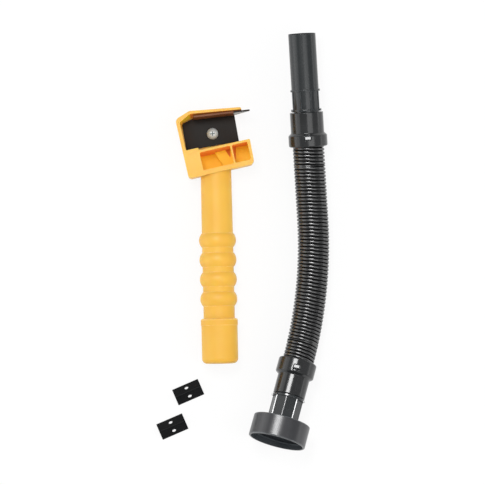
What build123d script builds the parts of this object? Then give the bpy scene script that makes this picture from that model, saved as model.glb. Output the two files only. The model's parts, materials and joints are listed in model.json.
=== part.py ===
from build123d import *
from math import cos, hypot, radians, sin, tan
import os

# Flexible pouring nozzle for a fuel can, laid out with the hooked can tool and the two
# spare blades that go with it. Millimetres, +Z up, everything lying on one flat surface.
# The origin is the centre of the screw cap's mouth; the nozzle runs away from it towards +Y.

# ---- Fits ----------------------------------------------------------------------------
running_fit = 0.06        # radial, where one piece turns in another
push_fit = 0.1            # radial, where a piece is pushed home and stays
end_play = 0.15           # along the axis, beside a piece that turns

# ---- Lie of the nozzle ---------------------------------------------------------------
cap_heading = 15.0        # degrees the cap end lies off the Y axis
cap_rise = 10.5           # degrees the cap's mouth looks up
tip_rise = 6.0            # degrees the spout end looks up
joint_count = 12          # places where the hose bends
turn_per_joint = 2.3      # degrees of rest bend at each of the first joints
turning_joints = 8
levelling_joints = 3      # joints that take out the rise of the cap end
lifting_joints = 4        # joints that make the rise of the spout end
bend_right = 7.0          # degrees the first joint bends clockwise, seen from above
bend_left = 0.5           # degrees it bends the other way
straight_share = 0.6      # bend of a joint that lies straight at rest, as a share of the first

# ---- Hose ----------------------------------------------------------------------------
ring_pitch = 3.56
rings_per_link = 5
rings_at_end = 3          # rings that show between a bell and the first joint
rings_in_bell = 2
crest_radius = 15.8
valley_radius = 14.0
hose_wall = 1.2
crest_land = 0.9
valley_land = 0.8
wall_lean = 0.5           # how much wider the inside valley is than the outside one
joint_land = 0.1
joint_gap = 0.1           # left between two links at full bend

# ---- Screw cap and its flanged insert --------------------------------------------------
cap_mouth_radius = 28.95
cap_base_radius = 28.65
cap_height = 22.0
cap_wall = 2.3
cap_roof = 2.6
cap_edge = 0.8
thread_length = 14.0      # from the mouth to the step that the can's neck meets
thread_step = 0.75        # how far that step stands in
insert_radius = 12.2
insert_reach = 16.0       # how far the insert goes into the neck
flange_clearance = 0.3
flange_thickness = 3.0
gasket_thickness = 2.0
gasket_width = 7.5

# ---- Lower and upper cuffs -------------------------------------------------------------
cuff_wall = 1.7
bell_wall = 1.8
bell_edge = 1.6
cuff_bevel = 0.5
shoulder_length = 3.4
socket_depth = 10.8       # from the bell's mouth to the step that stops the collar
lower_bell_radius = 19.3
lower_bell_length = 15.5
lower_narrow_radius = 16.05
lower_narrow_length = 21.0
upper_bell_radius = 19.4
upper_bell_length = 12.5
upper_narrow_radius = 16.65
upper_narrow_length = 21.8
window_width = 7.0
window_length = 6.5
window_play = 0.3         # between the window's edge and the tab
tab_width = 6.0
tab_length = 3.4
tab_stand = 1.5
collar_inset = 0.8
collar_grip = 0.2         # radial gap between the collar and the hose crests

# ---- Necks and spout -------------------------------------------------------------------
bore_radius = 10.0
neck_length = 26.0        # from the cuff to the cap
neck_radius = 15.4
flute_depth = 1.15
rib_count = 8
rib_width = 2.4
neck_ring_length = 2.2
neck_ring_stand = 0.5     # how far the rings stand out beyond the ribs
lug_count = 4
lug_width = 5.0
lug_stand = 0.9
spout_neck_length = 22.4
spout_neck_radius = 14.35
spout_ring_length = 1.8
spout_radius = 13.65
spout_wall = 1.8
spout_length = 56.0
cuff_edge_gap = 0.4
o_ring_thickness = 1.8
o_ring_groove = 2.2
o_ring_play = 0.05
o_ring_place = 8.0        # from the step in the cuff
snap_ring_thickness = 1.2
snap_ring_radius = 15.6
snap_ring_depth = 1.1
snap_ring_opening = 5.0
snap_ring_play = 0.05
spigot_lip = 1.4          # spigot left beyond the snap ring

# ---- Can tool --------------------------------------------------------------------------
tool_x = -56.2            # centre of the handle's free end
tool_y = 78.3
tool_lean = 1.3           # degrees anticlockwise from the Y axis
handle_length = 185.5
handle_radius = 15.6
handle_top_radius = 15.2
handle_bore = 12.0
handle_bore_depth = 150.0
sleeve_radius = 18.1
sleeve_length = 38.0
sleeve_round = 5.0
band_radius = 18.5
band_length = 7.0
band_bevel = 1.6
grip_count = 4
grip_first = 64.4         # first finger ring, from the free end
grip_pitch = 19.6
grip_radius = 18.5
grip_half_length = 7.2

# ---- Head of the tool ------------------------------------------------------------------
head_turn = 13.0          # degrees anticlockwise from the X axis
head_offset = 27.1        # the head's lower corner, left of the handle's axis
head_drop = 0.6
head_overlap = 1.0        # how far the handle runs into the head
head_depth = 34.0
head_round = 3.5
head_width = 67.3
jaw_bevel = 3.0
jaw_flare = 0.9
jaw_height = 25.2
block_width = 16.0
block_height = 28.0
side_wall = 3.5
web_width = 56.3
web_thickness = 10.0
head_height = 65.8
shoulder_x = 15.3
shoulder_y = 60.5
hook_reach = 66.5
hook_height = 58.1
hook_wall = 2.2
hook_root_wall = 3.0
jaw_lip = 4.8
jaw_rim = 2.2
jaw_end_wall = 2.4
pocket_floor = 6.0
shelf_floor = 17.0
brace_top = 30.0
brace_foot = 37.0
brace_wall = 1.8
rib_place = 46.4
rib_wall = 2.3
opening_overrun = 3.0     # how far the cut for the opening runs past the head

# ---- Blade, its screw and nut ----------------------------------------------------------
blade_turn = 3.0          # degrees the blade is set clockwise in the head
bend_turn = 3.3           # degrees its bend falls further towards the point
blade_lean = 4.0          # degrees its front leg leans outwards
blade_x = 4.0
blade_y = 28.9
blade_length = 53.4
blade_height = 28.0       # at the point's end
blade_heel_height = 26.8  # at the far end, below the cut corner
blade_heel = 12.0         # length of the cut corner
blade_thickness = 1.6
blade_leg = 23.0
blade_point = 16.6        # how far the point runs past the back leg
blade_clearance = 0.3
screw_x = 28.6
screw_y = 12.0
screw_radius = 2.5
screw_clearance = 0.15
screw_head_radius = 5.7
screw_head_height = 3.8
screw_slot_width = 1.3
screw_slot_length = 6.4
screw_slot_depth = 1.6
nut_across_flats = 8.0
nut_thickness = 4.0
thread_clearance = 0.05

# ---- Spare blades ----------------------------------------------------------------------
spare_length = 28.0
spare_leg = 12.0
spare_thickness = 1.2
spare_bend_radius = 1.8
spare_hole_radius = 2.0
spare_hole_from_edge = 5.2
spare_count = 2
spare_x = -88.4           # middle of the first spare's ridge
spare_y = 50.0
spare_step_x = -15.8      # from each spare to the next
spare_step_y = -34.5
spare_turn = 23.5         # degrees anticlockwise from the X axis


def station(origin, direction):
    """Plane across an axis: its z runs along the axis and its y looks up."""
    across = Vector(0, 0, 1).cross(direction).normalized()
    return Plane(origin=origin, x_dir=across, z_dir=direction)


def heading(turn, rise):
    """Direction that lies turn degrees right of +Y and rises by rise degrees."""
    level = cos(radians(rise))
    return Vector(sin(radians(turn)) * level, cos(radians(turn)) * level, sin(radians(rise)))


def outline_plane(base):
    """Plane through the axis of a station: x is the radius and y runs along the axis."""
    return Plane(origin=base.origin, x_dir=base.x_dir, z_dir=-base.y_dir)


def axis_of(base):
    return Axis(base.origin, base.z_dir)


def turned(base, points):
    """Solid turned about a station's axis from a closed outline of (radius, length)."""
    with BuildPart() as piece:
        with BuildSketch(outline_plane(base)):
            with BuildLine():
                Polyline(*points, close=True)
            make_face()
        revolve(axis=axis_of(base))
    return piece


def save(piece, label):
    piece.part.label = label
    export_step(piece.part, f"parts/{label}.step")


os.makedirs("parts", exist_ok=True)

# ---- Route of the nozzle ---------------------------------------------------------------
lower_cuff_length = lower_bell_length + lower_narrow_length
upper_cuff_length = upper_bell_length + upper_narrow_length
link_length = rings_per_link * ring_pitch
end_length = rings_at_end * ring_pitch

mouth = station(Vector(0, 0, 0), heading(cap_heading, -cap_rise))
lower_bell = station(mouth.offset(cap_height + neck_length + lower_cuff_length).origin, -mouth.z_dir)

joint_turns = []          # rest bend of each joint, in the surface and out of it
for number in range(joint_count):
    turn = turn_per_joint if number < turning_joints else 0
    rise = cap_rise / levelling_joints if number < levelling_joints else 0
    if number >= joint_count - lifting_joints:
        rise = tip_rise / lifting_joints
    joint_turns.append((turn, rise))

joint_points = []
joint_directions = []     # the hose's direction after each joint
here = lower_bell.origin + mouth.z_dir * end_length
turn_now = cap_heading
rise_now = -cap_rise
for turn, rise in joint_turns:
    turn_now -= turn
    rise_now += rise
    joint_points.append(here)
    joint_directions.append(heading(turn_now, rise_now))
    here = here + joint_directions[-1] * link_length
upper_bell = station(joint_points[-1] + joint_directions[-1] * end_length, joint_directions[-1])


def gap_at(number):
    """Opening between two links that is still clear when the joint is bent fully."""
    turn, rise = joint_turns[number]
    swing = bend_right if turn else bend_right * straight_share
    angle = hypot(max(abs(turn - swing), abs(turn + bend_left)), rise)
    return 2 * valley_radius * tan(radians(angle / 2)) + joint_gap


# ---- Hose ------------------------------------------------------------------------------
def hose_outline(ring_count, start_gap, end_gap):
    """Closed outline of a corrugated length, shortened by half a gap at each end."""
    length = ring_count * ring_pitch
    outer = [(valley_radius, start_gap / 2), (valley_radius, start_gap / 2 + joint_land)]
    inner = [(valley_radius - hose_wall, start_gap / 2)]
    for ring in range(ring_count):
        middle = (ring + 0.5) * ring_pitch
        crest = crest_land / 2
        inside_crest = (crest_land - wall_lean) / 2
        outer += [(crest_radius, middle - crest), (crest_radius, middle + crest)]
        inner += [(crest_radius - hose_wall, middle - inside_crest)]
        inner += [(crest_radius - hose_wall, middle + inside_crest)]
        if ring < ring_count - 1:
            valley = middle + ring_pitch / 2
            outer += [(valley_radius, valley - valley_land / 2), (valley_radius, valley + valley_land / 2)]
            inside_valley = (valley_land + wall_lean) / 2
            inner += [(valley_radius - hose_wall, valley - inside_valley)]
            inner += [(valley_radius - hose_wall, valley + inside_valley)]
    outer += [(valley_radius, length - end_gap / 2 - joint_land), (valley_radius, length - end_gap / 2)]
    inner += [(valley_radius - hose_wall, length - end_gap / 2)]
    return outer + inner[::-1]


hose_end_rings = rings_at_end + rings_in_bell
hose_end_start = rings_in_bell * ring_pitch
lower_hose_start = station(lower_bell.origin - mouth.z_dir * hose_end_start, mouth.z_dir)
lower_hose_end = turned(lower_hose_start, hose_outline(hose_end_rings, 0, gap_at(0)))
save(lower_hose_end, "hose_end_lower")

for number in range(joint_count - 1):
    link_base = station(joint_points[number], joint_directions[number])
    hose_link = turned(link_base, hose_outline(rings_per_link, gap_at(number), gap_at(number + 1)))
    save(hose_link, f"hose_link_{number + 1:02d}")

upper_hose_start = station(joint_points[-1], joint_directions[-1])
upper_hose_end = turned(upper_hose_start, hose_outline(hose_end_rings, gap_at(joint_count - 1), 0))
save(upper_hose_end, "hose_end_upper")


# ---- Cuffs: a bell over the hose's end and a narrow sleeve over the spigot ----------------
# Each cuff's station lies in its bell's mouth, and its z points away from the hose.
collar_end = socket_depth - push_fit
window_start = collar_end - tab_length - window_play


def upper_side(base, radius):
    """Plane on the upper side of a station's axis: its -y runs along the axis."""
    return Plane(origin=base.origin + base.y_dir * radius, x_dir=base.x_dir, z_dir=base.y_dir)


def make_cuff(base, bell_radius, bell_length, narrow_radius, length):
    inside_bell = bell_radius - bell_wall
    inside_narrow = narrow_radius - cuff_wall
    shoulder_start = bell_length - shoulder_length / 2
    shoulder_end = bell_length + shoulder_length / 2
    with BuildPart() as cuff:
        with BuildSketch(outline_plane(base)):
            with BuildLine():
                Polyline((bell_radius - bell_edge, 0), (inside_bell, 0), (inside_bell, socket_depth),
                         (inside_narrow, socket_depth), (inside_narrow, length),
                         (narrow_radius - cuff_bevel, length), (narrow_radius, length - cuff_bevel),
                         (narrow_radius, shoulder_end))
                Bezier((narrow_radius, shoulder_end), (narrow_radius, bell_length),
                       (bell_radius, bell_length), (bell_radius, shoulder_start))
                Line((bell_radius, shoulder_start), (bell_radius, bell_edge))
                JernArc((bell_radius, bell_edge), (0, -1), bell_edge, -90)
            make_face()
        revolve(axis=axis_of(base))
        with BuildSketch(upper_side(base, 0)):
            with Locations((0, -window_start - window_length / 2)):
                Rectangle(window_width, window_length)
        extrude(amount=2 * bell_radius, mode=Mode.SUBTRACT)
    return cuff


def make_collar(base, bell_radius):
    """Collar clamped on the hose's end, with the tab that snaps into the cuff's window."""
    outside = bell_radius - bell_wall - push_fit
    inside = crest_radius + collar_grip
    with BuildPart() as collar:
        with BuildSketch(outline_plane(base)):
            with Locations(((inside + outside) / 2, (collar_inset + collar_end) / 2)):
                Rectangle(outside - inside, collar_end - collar_inset)
        revolve(axis=axis_of(base))
        with BuildSketch(upper_side(base, (inside + outside) / 2)):
            with Locations((0, -collar_end + tab_length / 2)):
                Rectangle(tab_width, tab_length)
        extrude(amount=(outside - inside) / 2 + tab_stand)
    return collar


lower_cuff = make_cuff(lower_bell, lower_bell_radius, lower_bell_length,
                       lower_narrow_radius, lower_cuff_length)
save(lower_cuff, "lower_cuff")
upper_cuff = make_cuff(upper_bell, upper_bell_radius, upper_bell_length,
                       upper_narrow_radius, upper_cuff_length)
save(upper_cuff, "upper_cuff")
lower_collar = make_collar(lower_bell, lower_bell_radius)
save(lower_collar, "lower_hose_collar")
upper_collar = make_collar(upper_bell, upper_bell_radius)
save(upper_collar, "upper_hose_collar")

# ---- Spigots with their rings ------------------------------------------------------------
snap_ring_end = socket_depth - end_play
snap_ring_start = snap_ring_end - snap_ring_thickness
spigot_start = snap_ring_start - spigot_lip
o_ring_middle = socket_depth + o_ring_place
lower_spigot_radius = lower_narrow_radius - cuff_wall - push_fit
upper_spigot_radius = upper_narrow_radius - cuff_wall - running_fit


def spigot_outline(radius, length):
    """Outer outline of a spigot, from the hose end to the edge of the cuff."""
    snap_floor = radius - snap_ring_depth
    seal_floor = radius - o_ring_thickness - o_ring_play
    snap_from = snap_ring_start - snap_ring_play
    snap_to = snap_ring_end + snap_ring_play
    seal_from = o_ring_middle - o_ring_groove / 2
    seal_to = o_ring_middle + o_ring_groove / 2
    return [(bore_radius, spigot_start), (radius, spigot_start),
            (radius, snap_from), (snap_floor, snap_from), (snap_floor, snap_to), (radius, snap_to),
            (radius, seal_from), (seal_floor, seal_from), (seal_floor, seal_to), (radius, seal_to),
            (radius, length + cuff_edge_gap)]


def ribs_across(base, outer_radius, start):
    """Section of the ribs between the flutes of a neck."""
    rib_depth = 2 * flute_depth
    with BuildSketch(base.offset(start)) as ribs:
        with PolarLocations(outer_radius - rib_depth / 2, rib_count):
            Rectangle(rib_depth, rib_width)
    return ribs.sketch


def lugs_across(base, ring_radius, start):
    """Section of the short lugs that stand out of the ring beside the cuff."""
    with BuildSketch(base.offset(start)) as lugs:
        with PolarLocations(ring_radius, lug_count, start_angle=45):
            Rectangle(2 * lug_stand, lug_width)
    return lugs.sketch


def make_snap_ring(base, spigot_radius):
    inside = spigot_radius - snap_ring_depth + snap_ring_play
    with BuildPart() as ring:
        with BuildSketch(base.offset(snap_ring_start)):
            Circle(snap_ring_radius)
            Circle(inside, mode=Mode.SUBTRACT)
            with Locations((0, -snap_ring_radius)):
                Rectangle(snap_ring_opening, snap_ring_radius, mode=Mode.SUBTRACT)
        extrude(amount=snap_ring_thickness)
    return ring


def make_o_ring(base, spigot_radius):
    with BuildPart() as ring:
        with BuildSketch(outline_plane(base)):
            with Locations((spigot_radius - o_ring_thickness / 2 - o_ring_play / 2, o_ring_middle)):
                Circle(o_ring_thickness / 2)
        revolve(axis=axis_of(base))
    return ring


# ---- Adapter neck, flanged insert, gasket and screw cap ------------------------------------
neck_start = lower_cuff_length + cuff_edge_gap
neck_end = lower_cuff_length + neck_length - end_play
neck_ring_radius = neck_radius + neck_ring_stand
core_radius = neck_radius - flute_depth
socket_radius = insert_radius + push_fit
socket_bottom = neck_end - insert_reach - push_fit
with BuildPart() as adapter_neck:
    with BuildSketch(outline_plane(lower_bell)):
        with BuildLine():
            Polyline(*spigot_outline(lower_spigot_radius, lower_cuff_length),
                     (neck_ring_radius, neck_start), (neck_ring_radius, neck_start + neck_ring_length),
                     (core_radius, neck_start + neck_ring_length), (core_radius, neck_end),
                     (socket_radius, neck_end), (socket_radius, socket_bottom),
                     (bore_radius, socket_bottom), close=True)
        make_face()
    revolve(axis=axis_of(lower_bell))
    extrude(ribs_across(lower_bell, neck_radius, neck_start), amount=neck_end - neck_start)
    extrude(lugs_across(lower_bell, neck_ring_radius, neck_start), amount=neck_ring_length)
save(adapter_neck, "adapter_neck")

neck_snap_ring = make_snap_ring(lower_bell, lower_spigot_radius)
save(neck_snap_ring, "neck_snap_ring")
neck_o_ring = make_o_ring(lower_bell, lower_spigot_radius)
save(neck_o_ring, "neck_o_ring")

cap_inside_radius = cap_mouth_radius - cap_wall
chamber_radius = cap_inside_radius - thread_step
cap_ceiling = cap_height - cap_roof
cap_hole_radius = insert_radius + running_fit
screw_cap = turned(mouth, [
    (cap_inside_radius, 0), (cap_inside_radius, thread_length), (chamber_radius, thread_length),
    (chamber_radius, cap_ceiling), (cap_hole_radius, cap_ceiling),
    (cap_hole_radius, cap_height), (cap_base_radius - cap_edge, cap_height),
    (cap_base_radius, cap_height - cap_edge), (cap_mouth_radius, cap_edge),
    (cap_mouth_radius - cap_edge, 0)])
save(screw_cap, "screw_cap")

flange_radius = chamber_radius - flange_clearance
flange_top = cap_ceiling - end_play
flange_bottom = flange_top - flange_thickness
insert_end = cap_height + end_play + insert_reach
flanged_insert = turned(mouth, [
    (bore_radius, flange_bottom), (flange_radius, flange_bottom), (flange_radius, flange_top),
    (insert_radius, flange_top), (insert_radius, insert_end), (bore_radius, insert_end)])
save(flanged_insert, "flanged_insert")

gasket_bottom = flange_bottom - gasket_thickness
gasket_inside = flange_radius - gasket_width
cap_gasket = turned(mouth, [
    (gasket_inside, gasket_bottom), (flange_radius, gasket_bottom),
    (flange_radius, flange_bottom), (gasket_inside, flange_bottom)])
save(cap_gasket, "cap_gasket")

# ---- Spout: tube, fluted neck and spigot in one moulding ------------------------------------
spout_start = upper_cuff_length + cuff_edge_gap
spout_neck_end = spout_start + spout_neck_length
spout_end = spout_neck_end + spout_length
spout_core = spout_neck_radius - flute_depth
spout_ring_radius = spout_neck_radius + neck_ring_stand
spout_bore = spout_radius - spout_wall
with BuildPart() as spout_tube:
    with BuildSketch(outline_plane(upper_bell)):
        with BuildLine():
            Polyline(*spigot_outline(upper_spigot_radius, upper_cuff_length),
                     (upper_narrow_radius - cuff_wall, spout_start),
                     (upper_narrow_radius - cuff_wall, spout_start + neck_ring_length),
                     (spout_core, spout_start + neck_ring_length),
                     (spout_core, spout_neck_end - spout_ring_length),
                     (spout_ring_radius, spout_neck_end - spout_ring_length),
                     (spout_ring_radius, spout_neck_end), (spout_radius, spout_neck_end),
                     (spout_radius, spout_end), (spout_bore, spout_end),
                     (spout_bore, spout_neck_end), (bore_radius, spout_start), close=True)
        make_face()
    revolve(axis=axis_of(upper_bell))
    extrude(ribs_across(upper_bell, spout_neck_radius, spout_start), amount=spout_neck_length)
    extrude(lugs_across(upper_bell, spout_ring_radius, spout_start), amount=neck_ring_length)
save(spout_tube, "spout_tube")

spout_snap_ring = make_snap_ring(upper_bell, upper_spigot_radius)
save(spout_snap_ring, "spout_snap_ring")
spout_o_ring = make_o_ring(upper_bell, upper_spigot_radius)
save(spout_o_ring, "spout_o_ring")

# ---- Can tool: hollow grip and hooked head in one moulding ------------------------------------
floor_level = joint_points[levelling_joints].Z - crest_radius
tool = station(Vector(tool_x, tool_y, floor_level + grip_radius), heading(-tool_lean, 0))
head_corner = tool.origin + tool.z_dir * (handle_length - head_drop) + tool.x_dir * head_offset
head_across = Vector(cos(radians(head_turn)), sin(radians(head_turn)), 0)
head = Plane(origin=head_corner - Vector(0, 0, head_depth / 2), x_dir=head_across, z_dir=(0, 0, 1))
head_joint = Plane(origin=head.origin + head.y_dir * head_overlap, z_dir=head.y_dir)

blade_seat = head.offset(web_thickness)
blade_across = head_across.rotate(Axis.Z, -blade_turn)
blade_corner = blade_seat.from_local_coords(Vector(blade_x, blade_y, 0))
blade_plane = Plane(origin=blade_corner, x_dir=blade_across, z_dir=(0, 0, 1))
nut_seat = blade_plane.offset(-web_thickness)
bend_end = blade_plane.from_local_coords(Vector(blade_length, blade_height, 0))
heel_height = blade_height + (blade_length - blade_heel) * tan(radians(bend_turn))


def above_blade(distance):
    """Height in the head, just above the blade's upper edge, at a distance across the head."""
    slope = tan(radians(blade_turn + bend_turn))
    end = head.to_local_coords(bend_end)
    return end.Y - (distance - end.X) * slope + blade_clearance


def hook_inside(distance):
    """Height of the hook's underside at the front of the head."""
    share = (distance - shoulder_x) / (hook_reach - shoulder_x)
    left = head_height - hook_root_wall
    right = hook_height - hook_wall
    return left + (right - left) * share


opening_reach = head_width + opening_overrun
opening_low = [(side_wall, block_height), (block_width, block_height), (block_width, jaw_height),
               (opening_reach, jaw_height)]
opening_corner = (side_wall, shoulder_y - side_wall)
opening_back = opening_low + [(x, above_blade(x)) for x in (opening_reach, shoulder_x)] + [opening_corner]
opening_front = opening_low + [(x, hook_inside(x)) for x in (opening_reach, shoulder_x)] + [opening_corner]
jaw_ceiling = jaw_height - jaw_rim
pocket_deep = [(block_width, jaw_lip), (brace_foot, jaw_lip),
               (brace_top, jaw_ceiling), (block_width, jaw_ceiling)]
pocket_shelf = [(brace_foot + brace_wall, jaw_lip), (rib_place, jaw_lip), (rib_place, jaw_ceiling),
                (brace_top + brace_wall, jaw_ceiling)]
pocket_end = [(rib_place + rib_wall, jaw_lip), (head_width - jaw_end_wall, jaw_lip),
              (head_width - jaw_end_wall, jaw_ceiling), (rib_place + rib_wall, jaw_ceiling)]

with BuildPart() as tool_handle:
    with BuildSketch(outline_plane(tool)):
        with BuildLine():
            Line((0, handle_length + head_offset), (0, handle_bore_depth))
            Polyline((0, handle_bore_depth), (handle_bore, handle_bore_depth), (handle_bore, 0),
                     (sleeve_radius - sleeve_round, 0))
            JernArc((sleeve_radius - sleeve_round, 0), (1, 0), sleeve_round, 90)
            Polyline((sleeve_radius, sleeve_round), (sleeve_radius, sleeve_length),
                     (band_radius, sleeve_length), (band_radius, sleeve_length + band_length - band_bevel),
                     (band_radius - band_bevel, sleeve_length + band_length),
                     (handle_radius, sleeve_length + band_length),
                     (handle_radius, grip_first - grip_half_length))
            for ring in range(grip_count):
                middle = grip_first + ring * grip_pitch
                ThreePointArc((handle_radius, middle - grip_half_length), (grip_radius, middle),
                              (handle_radius, middle + grip_half_length))
                if ring < grip_count - 1:
                    Line((handle_radius, middle + grip_half_length),
                         (handle_radius, middle + grip_pitch - grip_half_length))
            grip_end = grip_first + (grip_count - 1) * grip_pitch + grip_half_length
            Polyline((handle_radius, grip_end), (handle_top_radius, handle_length + head_offset),
                     (0, handle_length + head_offset))
        make_face()
    revolve(axis=axis_of(tool))
    split(bisect_by=head_joint, keep=Keep.BOTTOM)
    with BuildSketch(head):
        with BuildLine():
            Polyline((head_round, 0), (head_width - jaw_bevel, 0), (head_width, jaw_bevel),
                     (head_width + jaw_flare, jaw_height), (web_width, jaw_height),
                     (web_width, above_blade(web_width)), (hook_reach, above_blade(hook_reach)),
                     (hook_reach, hook_height), (shoulder_x, head_height), (0, shoulder_y), (0, head_round))
            JernArc((0, head_round), (0, -1), head_round, 90)
        make_face()
    extrude(amount=head_depth)
    with BuildSketch(blade_seat):
        Polygon(*opening_back, align=None)
    with BuildSketch(head.offset(head_depth)):
        Polygon(*opening_front, align=None)
    loft(ruled=True, mode=Mode.SUBTRACT)
    pockets = ((pocket_deep, pocket_floor), (pocket_shelf, shelf_floor), (pocket_end, pocket_floor))
    for outline, bottom in pockets:
        with BuildSketch(head.offset(bottom)):
            Polygon(*outline, align=None)
        extrude(amount=head_depth - bottom, mode=Mode.SUBTRACT)
    with Locations(blade_plane.offset(blade_thickness)):
        with Locations((screw_x, screw_y)):
            Hole(screw_radius + screw_clearance)
    with BuildSketch(nut_seat):
        with Locations((screw_x, screw_y)):
            RegularPolygon(nut_across_flats / 2 + push_fit, 6, major_radius=False)
    extrude(amount=nut_thickness + push_fit, mode=Mode.SUBTRACT)
save(tool_handle, "tool_handle")

# ---- Blade of the tool: a back leg on the head's web and a front leg that ends in a point -------
heel = blade_plane.from_local_coords(Vector(blade_heel, heel_height, 0))
bend_across = (bend_end - heel).normalized()
bend_length = (bend_end - heel).length
bend_upward = Vector(0, 0, 1).cross(bend_across)
leg_out = (Vector(0, 0, 1) + bend_upward * tan(radians(blade_lean))).normalized()
leg_plane = Plane(origin=heel, x_dir=bend_across, z_dir=bend_across.cross(leg_out))
with BuildPart() as tool_blade:
    with BuildSketch(blade_plane):
        Polygon((0, 0), (blade_length, 0), (blade_length, blade_height), (blade_heel, heel_height),
                (0, blade_heel_height), align=None)
    extrude(amount=blade_thickness)
    with BuildSketch(leg_plane):
        Polygon((0, 0), (bend_length, 0), (bend_length, blade_thickness),
                (bend_length + blade_point, blade_leg), (0, blade_leg), align=None)
    extrude(amount=blade_thickness)
    with Locations(blade_plane.offset(blade_thickness)):
        with Locations((screw_x, screw_y)):
            Hole(screw_radius + screw_clearance)
save(tool_blade, "tool_blade")

# ---- Pan head screw and its captive nut ----------------------------------------------------------
screw_seat = blade_plane.offset(blade_thickness)
dome_radius = (screw_head_radius ** 2 + screw_head_height ** 2) / (2 * screw_head_height)
with BuildPart() as blade_screw:
    screw_foot = screw_seat.from_local_coords(Vector(screw_x, screw_y, 0))
    screw_plane = Plane(origin=screw_foot, x_dir=blade_across, z_dir=(0, 0, 1))
    with BuildSketch(outline_plane(screw_plane)):
        with BuildLine():
            Line((0, -web_thickness - blade_thickness), (screw_radius, -web_thickness - blade_thickness))
            Line((screw_radius, -web_thickness - blade_thickness), (screw_radius, 0))
            Line((screw_radius, 0), (screw_head_radius, 0))
            RadiusArc((screw_head_radius, 0), (0, screw_head_height), -dome_radius)
            Line((0, screw_head_height), (0, -web_thickness - blade_thickness))
        make_face()
    revolve(axis=axis_of(screw_plane))
    with BuildSketch(screw_plane.offset(screw_head_height - screw_slot_depth)):
        Rectangle(screw_slot_length, screw_slot_width)
        Rectangle(screw_slot_width, screw_slot_length)
    extrude(amount=screw_slot_depth, mode=Mode.SUBTRACT)
save(blade_screw, "blade_screw")

with BuildPart() as blade_nut:
    with BuildSketch(nut_seat):
        with Locations((screw_x, screw_y)):
            RegularPolygon(nut_across_flats / 2, 6, major_radius=False)
            Circle(screw_radius + thread_clearance, mode=Mode.SUBTRACT)
    extrude(amount=nut_thickness)
save(blade_nut, "blade_nut")

# ---- Spare blades: short angles with a hole in each leg, standing on their two edges ---------------
for number in range(spare_count):
    ridge_height = floor_level + (spare_leg + spare_thickness) * sin(radians(45))
    ridge = Vector(cos(radians(spare_turn)), sin(radians(spare_turn)), 0)
    down = Vector(0, 0, -1)
    leg_a = (ridge.cross(down) + down).normalized()
    leg_b = (down - ridge.cross(down)).normalized()
    apex = Vector(spare_x + number * spare_step_x, spare_y + number * spare_step_y, ridge_height)
    section = Plane(origin=apex, x_dir=leg_b, z_dir=leg_b.cross(leg_a))
    inside_radius = spare_bend_radius - spare_thickness
    with BuildPart() as spare_blade:
        with BuildSketch(section):
            with BuildLine():
                FilletPolyline((spare_leg, 0), (0, 0), (0, spare_leg), radius=spare_bend_radius)
                Line((0, spare_leg), (spare_thickness, spare_leg))
                FilletPolyline((spare_thickness, spare_leg), (spare_thickness, spare_thickness),
                               (spare_leg, spare_thickness), radius=inside_radius)
                Line((spare_leg, spare_thickness), (spare_leg, 0))
            make_face()
        extrude(amount=spare_length / 2, both=True)
        for outward, across in ((section.x_dir, section.y_dir), (section.y_dir, section.x_dir)):
            hole_centre = apex + outward * (spare_leg - spare_hole_from_edge)
            with BuildSketch(Plane(origin=hole_centre, x_dir=outward, z_dir=across)):
                Circle(spare_hole_radius)
            extrude(amount=spare_thickness, mode=Mode.SUBTRACT)
    save(spare_blade, f"spare_blade_{number + 1}")
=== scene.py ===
import json
import logging
from dataclasses import dataclass, field
from enum import Enum
from math import asin, cos, degrees, hypot, pi, radians, sin, tan
from typing import Callable, Iterable, Sequence

import bmesh
import bpy
from mathutils import Matrix, Vector


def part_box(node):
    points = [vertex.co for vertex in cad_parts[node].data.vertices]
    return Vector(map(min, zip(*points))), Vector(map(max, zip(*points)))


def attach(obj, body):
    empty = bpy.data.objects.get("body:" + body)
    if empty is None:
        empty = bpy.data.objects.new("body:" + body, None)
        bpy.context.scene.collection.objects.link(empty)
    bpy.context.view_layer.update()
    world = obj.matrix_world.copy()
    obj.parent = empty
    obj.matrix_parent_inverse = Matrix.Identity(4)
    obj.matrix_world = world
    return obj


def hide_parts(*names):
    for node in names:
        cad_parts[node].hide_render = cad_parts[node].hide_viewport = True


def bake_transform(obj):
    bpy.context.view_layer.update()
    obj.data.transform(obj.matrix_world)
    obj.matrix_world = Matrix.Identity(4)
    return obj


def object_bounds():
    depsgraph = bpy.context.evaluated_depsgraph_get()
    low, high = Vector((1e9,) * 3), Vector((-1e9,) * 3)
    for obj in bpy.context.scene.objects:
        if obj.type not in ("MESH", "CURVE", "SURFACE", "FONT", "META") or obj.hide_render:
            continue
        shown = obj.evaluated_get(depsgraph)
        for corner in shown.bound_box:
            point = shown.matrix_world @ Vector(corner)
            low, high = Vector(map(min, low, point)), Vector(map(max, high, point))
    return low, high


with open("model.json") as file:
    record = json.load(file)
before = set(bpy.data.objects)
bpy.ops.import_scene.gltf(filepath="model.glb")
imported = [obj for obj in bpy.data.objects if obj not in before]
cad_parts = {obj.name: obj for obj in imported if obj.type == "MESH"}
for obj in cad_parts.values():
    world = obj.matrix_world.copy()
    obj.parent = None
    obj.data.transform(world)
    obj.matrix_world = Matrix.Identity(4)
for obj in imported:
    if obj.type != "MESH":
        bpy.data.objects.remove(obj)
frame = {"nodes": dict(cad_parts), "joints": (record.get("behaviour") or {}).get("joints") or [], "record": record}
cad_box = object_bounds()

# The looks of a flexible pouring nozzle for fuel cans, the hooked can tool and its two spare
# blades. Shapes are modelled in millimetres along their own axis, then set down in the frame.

log = logging.getLogger("nozzle_set")

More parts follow.
